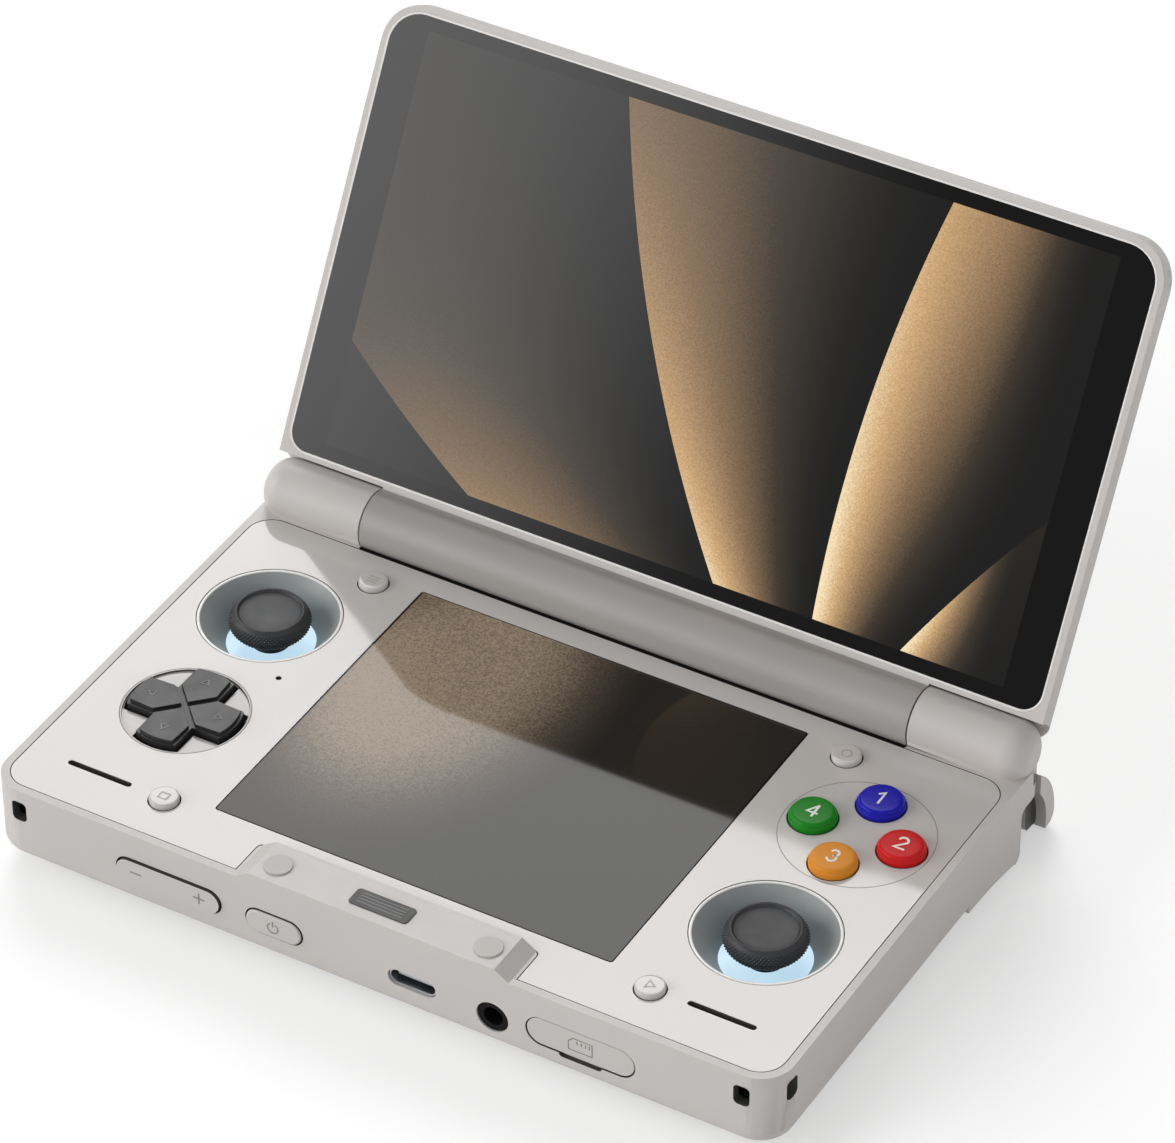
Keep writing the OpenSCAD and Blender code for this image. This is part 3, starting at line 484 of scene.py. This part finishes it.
def make_lower_glass():
    """Low-glare glass over a dim panel with broad, soft pleats of warm brown."""
    s = Shader("lower_glass")
    centre = middle("lower_glass")
    x = s.along((1, 0, 0), centre)
    y = s.along((0, 1, 0), centre)
    fold = s.fan(*s.around(x, y, (-62 * MM, 46 * MM)), 5.0, 20)
    wave = s.range(s.math("SINE", fold), -1, 1, 0.72, 1.0)
    _, reach = s.around(x, y, (-23 * MM, 14 * MM), 0.7)
    light = s.math("MULTIPLY", wave, s.range(reach, 9 * MM, 33 * MM, 1.0, 0.03, True))
    light = s.math("MULTIPLY", light, s.range(s.noise(2.8, 2), 0.35, 0.65, 0.76, 1.24))
    brown = s.ramp(light, [(0.0, (0.006, 0.005, 0.004)), (0.3, (0.06, 0.044, 0.031)),
                           (0.88, (0.26, 0.20, 0.14))])
    s.show(brown, s.inside(x, y, *LOWER_LIT))
    s.link(s.range(s.noise(0.02), 0.3, 0.7, 0.03, 0.06), s.bsdf.inputs["Roughness"])
    s.set(Base_Color=(0.010, 0.010, 0.010, 1), IOR=1.30)


def make_display():
    """Dark panel behind each glass."""
    s = Shader("display")
    s.mottle((0.03, 0.03, 0.034), 0.1, 0.3)
    s.set(Roughness=0.25)


# ---- mesh helpers ----

EDGE_ANGLE = math.radians(28)   # a sharper fold is an edge to round
SHARP_ANGLE = math.radians(50)  # a sharper fold stays sharp in the shading
FLAT_ANGLE = math.radians(0.4)  # a softer fold is no fold
BEND_ANGLE = 0.01               # radians; a softer fold doesn't make a surface curved
PLANE_AREA = 3e-6               # square metres; smaller faces are never flat panels
PLANE_SHARE = 0.3               # a curved neighbour with less of the face's area doesn't count
WELD = 1e-6


def finish_mesh(bm, name, material, body, smooth=True, replaces=(), shaded=()):
    """Turn a bmesh into a piece. shaded lists (test of a face, material of those faces) for faces
    painted with shade.
    """
    mesh = bpy.data.meshes.new(name)
    bmesh.ops.recalc_face_normals(bm, faces=bm.faces)
    mesh.materials.append(MATERIALS[material])
    for k, (test, shade) in enumerate(shaded):
        mesh.materials.append(MATERIALS[shade])
        for face in bm.faces:
            if face.material_index == 0 and test(face):
                face.material_index = k + 1
    smooth_faces = [not is_plane(face) for face in bm.faces]
    bm.to_mesh(mesh)
    bm.free()
    if smooth:
        # this resets the flags, so they are set after it
        mesh.set_sharp_from_angle(angle=SHARP_ANGLE)
        mesh.polygons.foreach_set("use_smooth", smooth_faces)
    piece = bpy.data.objects.new(name, mesh)
    if smooth:
        normals = piece.modifiers.new("normals", "WEIGHTED_NORMAL")
        normals.keep_sharp = True
    bpy.context.collection.objects.link(piece)
    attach(piece, body)
    if replaces:
        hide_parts(*replaces)


def node_mesh(node):
    """The node's solid as clean polygons."""
    bm = bmesh.new()
    bm.from_mesh(NODES[node].data)
    bmesh.ops.remove_doubles(bm, verts=bm.verts, dist=WELD)
    bmesh.ops.dissolve_limit(bm, angle_limit=FLAT_ANGLE, verts=bm.verts, edges=bm.edges)
    return bm


def is_sharp(edge):
    """A fold between two faces that is to be rounded."""
    return len(edge.link_faces) == 2 and edge.calc_face_angle(0) > EDGE_ANGLE


def is_plane(face):
    """A large flat face that no curved surface of like size runs into."""
    area = face.calc_area()
    if area < PLANE_AREA:
        return False
    for edge in face.edges:
        if len(edge.link_faces) == 2 and BEND_ANGLE < edge.calc_face_angle(0) < EDGE_ANGLE:
            first, second = edge.link_faces
            other = first if second is face else second
            if other.calc_area() > PLANE_SHARE * area:
                return False
    return True


def soften(node, rules, material=None, shaded=(), back=0.0):
    """A copy of the node with rounded edges, which then stands for it.

    rules is a list of (test of an edge's middle, radius in mm, segments).
    shaded tells which faces lie in a gap, a slot or a hole, and the material that paints them with
    shade.
    back moves the front of the node inwards."""
    bm = node_mesh(node)
    front = low(node).y + 0.3 * MM
    for vert in bm.verts:
        if back and vert.co.y < front:
            vert.co.y += back
    for test, radius, segments in rules:
        edges = [e for e in bm.edges
                 if is_sharp(e) and test((e.verts[0].co + e.verts[1].co) / 2)]
        if edges:
            bmesh.ops.bevel(bm, geom=edges, offset=radius * MM, offset_type="OFFSET",
                            segments=segments, profile=0.5, affect="EDGES", clamp_overlap=True)
    finish_mesh(bm, node + "_finished", material or SLOT_OF[node], BODY_OF[node],
                replaces=(node,), shaded=shaded)


def anywhere(_):
    """For a rule that holds for every edge."""
    return True


def prism(bm, outline, height, inset):
    """A flat-topped form over a closed level outline, with a small chamfer."""
    centre = sum(outline, Vector()) / len(outline)
    lower = [bm.verts.new(p) for p in outline]
    shoulder = [bm.verts.new(p + UP * (height - inset)) for p in outline]
    top = [bm.verts.new(p + (centre - p).normalized() * inset + UP * height) for p in outline]
    count = len(outline)
    for ring_a, ring_b in ((lower, shoulder), (shoulder, top)):
        for i in range(count):
            j = (i + 1) % count
            bm.faces.new((ring_a[i], ring_a[j], ring_b[j], ring_b[i]))
    bm.faces.new(top)


def stadium(a, b, half, steps=8):
    """Level outline of a stroke with round ends from a to b."""
    along = (b - a).normalized()
    side = UP.cross(along)
    points = []
    for end, sign in ((b, 1), (a, -1)):
        for i in range(steps + 1):
            turn = math.pi * (i / steps - 0.5)
            points.append(end + (along * math.cos(turn) + side * math.sin(turn)) * half * sign)
    return points


def arc(cx, cy, r, start, end, steps=12):
    """Points of an arc in a glyph's coordinates, angles in degrees."""
    turns = [math.radians(start + (end - start) * i / steps) for i in range(steps + 1)]
    return [(cx + r * math.cos(t), cy + r * math.sin(t)) for t in turns]


def ribbon(bm, points, half, normal, base, height, end_steps=8):
    """A flat strip of even width along a line of points, with round ends when it is open."""
    closed = (points[0] - points[-1]).length < 1e-7
    if closed:
        points = points[:-1]
    count = len(points)
    edges = []
    for i, p in enumerate(points):
        before = points[i - 1] if closed or i else None
        after = points[(i + 1) % count] if closed or i < count - 1 else None
        come = (p - before).normalized() if before else (after - p).normalized()
        leave = (after - p).normalized() if after else come
        along = (come + leave).normalized()
        side = normal.cross(along) * (half / max(0.6, along.dot(leave)))
        edges.append((p + side, p - side))
    pairs = [(i, (i + 1) % count) for i in range(count if closed else count - 1)]
    shapes = [[edges[a][0], edges[a][1], edges[b][1], edges[b][0]] for a, b in pairs]
    if not closed:
        for i, sign in ((0, -1), (count - 1, 1)):
            side = edges[i][0] - points[i]
            along = side.cross(normal) * sign
            turns = [math.pi * k / end_steps for k in range(end_steps + 1)]
            shapes.append([points[i] + side * math.cos(t) + along * math.sin(t) for t in turns])
    for shape in shapes:
        low_ring = [bm.verts.new(p + normal * base) for p in shape]
        top_ring = [bm.verts.new(p + normal * (base + height)) for p in shape]
        bm.faces.new(top_ring)
        bm.faces.new(low_ring[::-1])
        for i in range(len(shape)):
            j = (i + 1) % len(shape)
            bm.faces.new((low_ring[i], low_ring[j], top_ring[j], top_ring[i]))


SINK = 0.05   # mm that raised strokes start below the surface
STEP = 0.006  # mm that each stroke ends above the last, so crossing tops never coincide


def glyph(name, strokes, at, plane, width, height, material, body):
    """Raised strokes. Points are in mm from at, along the two directions of plane."""
    across, upward = (Vector(direction) for direction in plane)
    normal = across.cross(upward)
    bm = bmesh.new()
    for k, stroke in enumerate(strokes):
        points = [at + across * (p[0] * MM) + upward * (p[1] * MM) for p in stroke]
        ribbon(bm, points, width * MM / 2, normal, -SINK * MM, (height + SINK + STEP * k) * MM)
    finish_mesh(bm, name, material, body, smooth=False)


def lathe(profile, centre, segments, twist=None):
    """A turned form. profile holds (radius, height) in metres; twist moves a point outwards."""
    bm = bmesh.new()
    rings = []
    for k, (radius, height) in enumerate(profile):
        if radius < 1e-7:
            rings.append([bm.verts.new(centre + Vector((0, 0, height)))])
            continue
        ring = []
        for i in range(segments):
            turn = 2 * math.pi * i / segments
            r = radius + (twist(k, i) if twist else 0)
            ring.append(bm.verts.new(centre + arm(r, turn, height)))
        rings.append(ring)
    for a, b in zip(rings, rings[1:]):
        for i in range(segments):
            j = (i + 1) % segments
            corners = [a[i % len(a)], a[j % len(a)], b[j % len(b)], b[i % len(b)]]
            unique = []
            for vert in corners:
                if vert not in unique:
                    unique.append(vert)
            if len(unique) > 2:
                bm.faces.new(unique)
    return bm


# ---- the console ----

def carry_over():
    """Every node gets its slot's material. The two glasses share a slot, but not a picture."""
    glasses = {"lid_glass": "upper_glass", "lower_glass": "lower_glass"}
    for name, node in NODES.items():
        material = MATERIALS[glasses.get(name, SLOT_OF[name])]
        node.data.materials.clear()
        node.data.materials.append(material)


# tests of faces that lie in gaps, slots and holes, where dark materials paint the shade

SLOPE = 0.5  # a face with less of its normal along an axis looks to the side of that axis
BAY_Y = low("trigger_right").y - 3.2 * MM
BAY_X = low("trigger_right").x - 0.4 * MM
SHELF_Z = 11.4 * MM
TRIGGER_MIDDLE = Vector((0, 36 * MM, -0.3 * MM))
TRIGGER_REACH = high("trigger_right").y - TRIGGER_MIDDLE.y
FRONT_KEYS = ("volume_rocker", "power_button", "card_cover")
PILLS = [(middle(n).x, (high(n).x - low(n).x) / 2) for n in FRONT_KEYS]


def upright(f):
    """Side walls of a level plate."""
    return abs(f.normal.z) < SLOPE


def under_face(f):
    """Side walls of the inlays below the face, painted dark as shade."""
    return upright(f) and f.calc_center_median().z < FACE_Z - 0.15 * MM


def below_key_top(f):
    """Parts of the round keys below the face, painted dark as shade."""
    return f.calc_center_median().z < FACE_Z - 0.1 * MM


def behind_wall(f):
    """Sides of the front keys within the thickness of the wall, painted dark as shade."""
    return abs(f.normal.y) < SLOPE and f.calc_center_median().y > FRONT_Y + 0.1 * MM


def bay_wall(f):
    """Walls of the trigger bays, seen past the triggers, painted black as shade."""
    c = f.calc_center_median()
    return c.y > BAY_Y and BAY_X < abs(c.x) < SIDE_X - 0.2 * MM and 0.3 * MM < c.z < SHELF_Z


def trigger_inside(f):
    """The web of a trigger and the hollow side of its skin, which are painted as shade."""
    c = f.calc_center_median()
    if abs(c.x) > SIDE_X - 1 * MM or c.z > 8.6 * MM:
        return False
    reach = math.hypot(c.y - TRIGGER_MIDDLE.y, c.z - TRIGGER_MIDDLE.z)
    return reach < TRIGGER_REACH - 1.2 * MM


def shaded_trigger_web(f):
    """Faces of the hollow side that look to the front, painted mid grey as shade."""
    return trigger_inside(f) and f.normal.y < -SLOPE


def trough(f):
    """The trough under the middle barrel, painted black as shade."""
    c = f.calc_center_median()
    level = 10 * MM < c.z < FACE_Z - 0.1 * MM
    return level and abs(c.x) < BARREL_HALF and 34.5 * MM < c.y < HINGE.y - 1 * MM


def frame_gap(f):
    """Walls of the openings and pockets of the base, painted dark as shade."""
    c = f.calc_center_median()
    x, y = abs(c.x), c.y - FRONT_Y
    within = x < SIDE_X - 1 * MM and y > 1 * MM and c.y < HINGE.y - 5 * MM
    if within and FACE_Z - 3 * MM < c.z < FACE_Z - 0.15 * MM:
        return True
    # strap tunnels
    from_arc = Vector((x - SIDE_X + BODY_R, y - BODY_R))
    if from_arc.x > 0 and from_arc.y < 0:
        deep = from_arc.length < BODY_R - 0.3 * MM
    else:
        deep = x < SIDE_X - 0.2 * MM and y > 0.2 * MM
    if deep and x > SIDE_X - 9 * MM and y < 9 * MM and 7.5 * MM < c.z < 12.6 * MM:
        return True
    # pockets of the front keys
    if 0.15 * MM < y < 3 * MM and abs(f.normal.y) < SLOPE:
        return c.z < 10.2 * MM and any(abs(c.x - at) < half + 1 * MM for at, half in PILLS)
    return False


def soften_base():
    """Rounded edges of the base, its cover and the sheets on its face."""
    rest_top = high("rest_bumpers").z - 0.35 * MM
    knuckle_y = 36 * MM

    def outer_rim(p):
        outside = abs(p.x) > SIDE_X - 0.1 * MM or p.y < FRONT_Y + 0.1 * MM
        corner = abs(p.x) > SIDE_X - BODY_R and p.y < FRONT_Y + BODY_R
        level = FACE_Z - 0.2 * MM < p.z < FACE_Z + 0.1 * MM
        return level and (outside or corner) and p.y < knuckle_y

    def rest_edge(p):
        return p.z > rest_top - 0.1 * MM or (p.z > FACE_Z + 0.2 * MM and p.y < FRONT_Y + 9.2 * MM)

    def rest_rear(p):
        return p.z > rest_top - 0.1 * MM and p.y > FRONT_Y + 8.5 * MM

    def in_sight(p):
        around = abs(p.x) > SIDE_X - 3 * MM or p.y < FRONT_Y + 3 * MM or p.y > 34 * MM
        return around or p.z > FACE_Z - 1.2 * MM

    # the base's trigger bay walls and the trough under the barrel are painted black as shade; the
    # walls of its openings and pockets are painted dark as shade
    soften("base_frame",
           [(outer_rim, 0.5, 4), (rest_rear, 0.9, 5), (rest_edge, 0.35, 3), (in_sight, 0.12, 2)],
           shaded=[(bay_wall, "black_plastic"), (frame_gap, "painted_shade_dark"),
                   (trough, "black_plastic")])
    # the lower cover's trigger bay walls are painted black as shade
    soften("lower_cover", [(anywhere, 0.12, 2)], shaded=[(bay_wall, "black_plastic")])
    # the D-pad inlay takes the shaded plate colour, and the inlays' walls below the face are
    # painted dark as shade
    for node, material in (("faceplate", None), ("button_bezel", None),
                           ("dpad_bezel", "shaded_plate")):
        soften(node, [(anywhere, 0.08, 2)], material, shaded=[(under_face, "painted_shade_dark")])


def soften_lid():
    """Rounded edges of the lid. Its middle barrel gets a darker copy of the shell colour, painted
    shade of the lid standing over it.
    """
    def lid_edge(p):
        q = to_lid(p)
        return q.z > 0.1 * MM and (abs(q.x) > 74 * MM or q.y > 87 * MM)

    def barrel(f):
        q = to_lid(f.calc_center_median())
        return math.hypot(q.y, q.z) < BARREL_R + 0.1 * MM and abs(q.x) < BARREL_HALF

    soften("lid_frame", [(lid_edge, 0.85, 5), (anywhere, 0.1, 2)],
           shaded=[(barrel, "shaded_shell_barrel")])
    soften("lid_back", [(anywhere, 0.1, 2)])


def soften_small_parts():
    """Rounded edges of triggers, keys, feet, sockets and glasses."""
    for side in ("left", "right"):
        # trigger insides get painted shade: mid grey where they look to the front, black elsewhere
        soften("trigger_" + side, [(anywhere, 0.35, 3)],
               shaded=[(shaded_trigger_web, "shaded_trigger_web"), (trigger_inside, "black_plastic")])
        soften("shoulder_" + side, [(anywhere, 0.4, 3)])
    # the sides of the front keys within the wall are painted dark as shade
    for node, radius in zip(FRONT_KEYS, (0.35, 0.35, 0.2)):
        soften(node, [(anywhere, radius, 3)], shaded=[(behind_wall, "painted_shade_dark")], back=KEY_BACK)
    soften("dpad_cross", [(anywhere, 0.3, 3)])
    soften("rubber_feet", [(anywhere, 0.5, 3)])
    # the badge's side walls are painted dark as shade
    soften("badge_plate", [(anywhere, 0.06, 2)], shaded=[(upright, "painted_shade_dark")])
    soften("rest_bumpers", [(anywhere, 0.12, 3)])
    soften("usb_socket", [(anywhere, 0.1, 2)])
    soften("audio_jack", [(anywhere, 0.15, 2)], "port_black")
    soften("lid_glass", [(anywhere, 0.12, 2)], "upper_glass")
    soften("lower_glass", [(anywhere, 0.1, 2)], "lower_glass")


# side of a stick cap: (height below its top, radius) in mm
CAP_SIDE = [(-4.9, 4.2), (-4.7, 4.9), (-4.4, 5.5), (-4.0, 6.1), (-3.6, 6.5), (-3.1, 6.9),
            (-2.6, 7.12), (-2.1, 7.2), (-1.6, 7.12), (-1.1, 6.86), (-0.7, 6.6), (-0.3, 6.28)]
# raised ring and shallow dish on the cap: (radius, height below its top) in mm
CAP_TOP = [(6.2, 0.25), (6.05, 0.06), (5.8, 0), (5.6, 0.05), (5.48, 0.2), (5.4, 0.4), (5.2, 0.48),
           (4, 0.56), (2, 0.66), (0, 0.7)]
KNURL_FROM, KNURL_TO = -4.4, -0.42
KNURL_ROWS = 40
KNURL_STARTS = 64
KNURL_LEAN = 5.6
KNURL_DEPTH = 0.3 * MM
CAP_SEGMENTS = 512


def cap_radius(height):
    """Radius of the cap's side at a height below its top, in mm."""
    for (h0, r0), (h1, r1) in zip(CAP_SIDE, CAP_SIDE[1:]):
        if height <= h1:
            return r0 + (r1 - r0) * (height - h0) / (h1 - h0)
    return CAP_SIDE[-1][1]


def stick_caps():
    """Caps with a coarse diamond knurl and a smooth top set in a raised ring."""
    for side in ("left", "right"):
        node = "stick_cap_" + side
        centre = middle(node)
        centre.z = 0
        top = high(node).z
        stem = low(node).z
        knee = top - 8 * MM
        profile = [(0, stem), (1.25 * MM, stem), (1.25 * MM, knee), (1.75 * MM, knee),
                   (1.75 * MM, top - 4.95 * MM)]
        profile += [(r * MM, top + h * MM) for h, r in CAP_SIDE[:2]]
        first = len(profile)
        for i in range(KNURL_ROWS + 1):
            h = KNURL_FROM + (KNURL_TO - KNURL_FROM) * i / KNURL_ROWS
            profile.append(((cap_radius(h) - 0.12) * MM, top + h * MM))
        last = len(profile) - 1
        profile += [(r * MM, top - down * MM) for r, down in CAP_TOP]

        def knurl(k, i):
            if not first <= k <= last:
                return 0
            part = (k - first) / (last - first)
            turn = math.pi * i / CAP_SEGMENTS * KNURL_STARTS
            lean = math.pi * KNURL_LEAN * part
            diamond = min(abs(math.sin(turn + lean)), abs(math.sin(turn - lean)))
            fade = min(1, 5 * part, 7 * (1 - part))
            return KNURL_DEPTH * (diamond - 0.5) * fade

        finish_mesh(lathe(profile, centre, CAP_SEGMENTS, knurl), node + "_finished",
                    "stick_black", BODY_OF[node], replaces=(node,))


DISH_R = 12.6 * MM
DISH_SEGMENTS = 128


def stick_dishes():
    """Dish cones with a separate pale lip at the face."""
    base = low("stick_bezels").z
    foot = [(8.6 * MM, base), (7.8 * MM, base + 0.02 * MM), (7.8 * MM, base + 0.1 * MM)]
    # inwards from the outer edge and down from the face, in mm
    brim = [(0.62, 0.14), (0.5, 0.1), (0.02, 0.1), (0.02, 1), (0.5, 1)]
    lip = [(0.58, 0.13), (0.5, 0.02), (0.38, 0), (0.14, 0), (0.04, 0.05), (0.02, 0.12)]

    def from_edge(steps):
        return [(DISH_R - inward * MM, FACE_Z - down * MM) for inward, down in steps]

    bm = bmesh.new()
    for side in ("left", "right"):
        centre = middle("stick_cap_" + side)
        centre.z = 0
        part = lathe(foot + from_edge(brim) + foot[:1], centre, DISH_SEGMENTS)
        mesh = bpy.data.meshes.new("part")
        part.to_mesh(mesh)
        part.free()
        bm.from_mesh(mesh)
        bpy.data.meshes.remove(mesh)
        finish_mesh(lathe(from_edge(lip), centre, DISH_SEGMENTS), "dish_lip_" + side, "bead",
                    "base")
    finish_mesh(bm, "stick_bezels_finished", "dish_grey", "base",
                replaces=("stick_bezels",))


# shoulders of the round keys: inwards from the side and down from the top, in mm
BUTTON_SHOULDER = [(0, 1.02), (0.03, 0.9), (0.12, 0.83), (0.22, 0.8), (0.27, 0.74), (0.31, 0.55),
                   (0.38, 0.36), (0.5, 0.2), (0.68, 0.1), (0.95, 0.05), (1.6, 0.02)]
MENU_SHOULDER = [(0, 0.4), (0.03, 0.28), (0.1, 0.16), (0.2, 0.07), (0.34, 0.03), (0.8, 0.01)]
KEY_SEGMENTS = 72


def round_keys():
    """Action buttons with a stepped shoulder, small keys with a soft one, slightly domed."""
    keys = [n for n in NODES if n.startswith(("button_", "menu_key_")) and n != "button_bezel"]
    for node in keys:
        centre = middle(node)
        centre.z = 0
        base = low(node).z
        top = high(node).z
        flange_r = (high(node).x - low(node).x) / 2
        r = flange_r - 0.6 * MM
        shoulder = BUTTON_SHOULDER if node.startswith("button_") else MENU_SHOULDER
        profile = [(0, base), (flange_r, base), (flange_r, base + 0.75 * MM), (r, base + 0.8 * MM),
                   (r, FACE_Z - 0.1 * MM)]
        profile += [(r - inward * MM, top - down * MM) for inward, down in shoulder]
        profile.append((0, top))
        # the parts of the keys below the face are painted dark as shade
        finish_mesh(lathe(profile, centre, KEY_SEGMENTS), node + "_finished", SLOT_OF[node],
                    BODY_OF[node], replaces=(node,),
                    shaded=[(below_key_top, "painted_shade_dark")])


# strokes in mm from the middle of the key
LEVEL = ((1, 0, 0), (0, 1, 0))
FRONT = ((1, 0, 0), (0, 0, 1))
NUMERALS = {
    "button_top": [[(-0.7, 0.75), (0.1, 1.4), (0.1, -1.4)]],
    "button_right": [arc(0, 0.6, 0.8, 165, -20) + [(-0.85, -1.35), (0.9, -1.35)]],
    "button_bottom": [arc(0, 0.68, 0.7, 155, -80) + arc(0, -0.65, 0.76, 80, -155)],
    "button_left": [[(0.45, 1.4), (-0.85, -0.55), (0.95, -0.55)], [(0.45, -1.4), (0.45, 1.4)]],
}


ICONS = {
    "menu_key_back_left": [[(-0.9, y), (0.9, y)] for y in (0, 0.7, -0.7)],
    "menu_key_back_right": [arc(0, 0, 0.85, 0, 360, 20)],
    "menu_key_front_left": [[(-0.8, -0.7), (0.8, -0.7), (0.8, 0.7), (-0.8, 0.7), (-0.8, -0.7)]],
    "menu_key_front_right": [[(-0.55, -0.9), (0.85, 0), (-0.55, 0.9), (-0.55, -0.9)]],
}


def key_marks():
    """Plain numerals on the action buttons and simple signs on the small keys."""
    for table, ending, down, width, height, material in (
            (NUMERALS, "_numeral", 0.03, 0.42, 0.06, "mark_pale"),
            (ICONS, "_icon", 0.02, 0.26, 0.05, "mark_soft")):
        for node, strokes in table.items():
            at = middle(node)
            at.z = high(node).z - down * MM
            glyph(node + ending, strokes, at, LEVEL, width, height, material, BODY_OF[node])


def pad_marks():
    """A small relief arrow on each arm of the cross pad."""
    centre = middle("dpad_cross")
    centre.z = high("dpad_cross").z - 0.02 * MM
    arrow = [(-0.75, -0.5), (0, 0.75), (0.75, -0.5), (-0.75, -0.5)]
    for k in range(4):
        out = arm(1, math.pi / 2 * k)
        glyph("pad_arrow_%d" % k, [arrow], centre + out * 6.6 * MM, (-UP.cross(out), out), 0.22,
              0.08, "mark_dark", "dpad_cross")


def front_marks():
    """Plus, minus and power signs, and a plain card outline on the cover."""
    minus = [(-1.0, 0), (1.0, 0)]
    power = [arc(0, -0.1, 1.0, 125, 415, 20), [(0, 0.25), (0, 1.2)]]
    outline = [(-2.2, -1.3), (2.2, -1.3), (2.2, 1.3), (-1.3, 1.3), (-2.2, 0.5), (-2.2, -1.3)]
    contacts = [[(x, 0.25), (x, 0.8)] for x in (-0.6, 0.2, 1.0, 1.7)]
    for name, node, x, strokes, width, height in (
            ("volume_minus", "volume_rocker", -6.2, [minus], 0.3, 0.04),
            ("volume_plus", "volume_rocker", 6.2, [minus, [(0, -1.0), (0, 1.0)]], 0.3, 0.04),
            ("power_sign", "power_button", 0, power, 0.26, 0.04),
            ("card_sign", "card_cover", 0, [outline] + contacts, 0.22, 0.02)):
        at = middle(node) + Vector((x * MM, 0, 0))
        at.y = low(node).y + KEY_BACK
        glyph(name, strokes, at, FRONT, width, height, "mark_and_shadow_grey", node)


def gap_shadow_strip():
    """Black strip in the gap between the middle barrel and its trough: a painted shadow line for
    the shade in that gap.
    """
    end = BARREL_HALF - 0.3 * MM
    line = [Vector((x, HINGE.y - 5.33 * MM, FACE_Z - 0.38 * MM)) for x in (-end, end)]
    bm = bmesh.new()
    ribbon(bm, line, 0.32 * MM, UP, 0, 0.4 * MM)
    finish_mesh(bm, "gap_shadow_strip", "port_black", "base", smooth=False)


SEAM_SEGMENTS = 120


def seam_shadow_lines():
    """Fine painted shadow lines where the round inlays meet the faceplate."""
    for node in ("button_bezel", "dpad_bezel"):
        centre = middle(node)
        centre.z = FACE_Z + 0.004 * MM
        radius = (high(node).x - low(node).x) / 2 + 0.03 * MM
        turns = [2 * math.pi * i / SEAM_SEGMENTS for i in range(SEAM_SEGMENTS)] + [0]
        bm = bmesh.new()
        ribbon(bm, [centre + arm(radius, t) for t in turns], 0.07 * MM, UP, -0.05 * MM, 0.05 * MM)
        finish_mesh(bm, node + "_line", "mark_and_shadow_grey", "base", smooth=False)


def badge_ribs():
    """Fine ribs across the bare badge plate."""
    at = middle("badge_plate")
    at.z = high("badge_plate").z
    strokes = [[(-4.2, y), (4.2, y)] for y in (-1.05, -0.35, 0.35, 1.05)]
    glyph("badge_ribs", strokes, at, LEVEL, 0.22, 0.05, "mark_dark", "base")


def glass_bead_highlight():
    """Thin bead that closes the gap between lid glass and rim; its bright colour is a painted
    highlight along the glass edge.
    """
    half_w, low_edge, high_edge = 73.65, 6.95, 87.05
    low_r, top_r = 3.7, 6.3
    corners = [(-half_w + low_r, low_edge + low_r, low_r, 180),
               (half_w - low_r, low_edge + low_r, low_r, 270),
               (half_w - top_r, high_edge - top_r, top_r, 0),
               (-half_w + top_r, high_edge - top_r, top_r, 90)]
    steps = 8
    profile = [(-0.2, -0.3), (-0.18, 0.02), (-0.1, 0.08), (0.1, 0.08), (0.18, 0.02), (0.2, -0.3)]
    bm = bmesh.new()
    rings = []
    for x, u, r, start in corners:
        for i in range(steps + 1):
            turn = math.radians(start + 90 * i / steps)
            rings.append([bm.verts.new(lid_point((x + (r + out) * math.cos(turn)) * MM,
                                                 (u + (r + out) * math.sin(turn)) * MM,
                                                 LID_FACE + n * MM)) for out, n in profile])
    for a, b in zip(rings, rings[1:] + rings[:1]):
        for i in range(len(profile) - 1):
            bm.faces.new((a[i], a[i + 1], b[i + 1], b[i]))
    finish_mesh(bm, "glass_bead_highlight", "bead", "lid")


def speaker_cloth():
    """Dark cloth behind each speaker slot."""
    reach = Vector((5.6 * MM, 0, 0))
    for side, sign in (("left", -1), ("right", 1)):
        centre = Vector((sign * 59.4 * MM, -36.5 * MM, FACE_Z - 1.6 * MM))
        bm = bmesh.new()
        prism(bm, stadium(centre - reach, centre + reach, 0.55 * MM), 0.3 * MM, 0.05 * MM)
        finish_mesh(bm, "speaker_cloth_" + side, "rubber_black", "base")


make_camera()
make_world()
make_floor()
make_materials()
carry_over()
soften_base()
soften_lid()
soften_small_parts()
stick_caps()
stick_dishes()
round_keys()
key_marks()
pad_marks()
front_marks()
gap_shadow_strip()
seam_shadow_lines()
badge_ribs()
glass_bead_highlight()
speaker_cloth()

bpy.context.scene.view_settings.view_transform = "Standard"
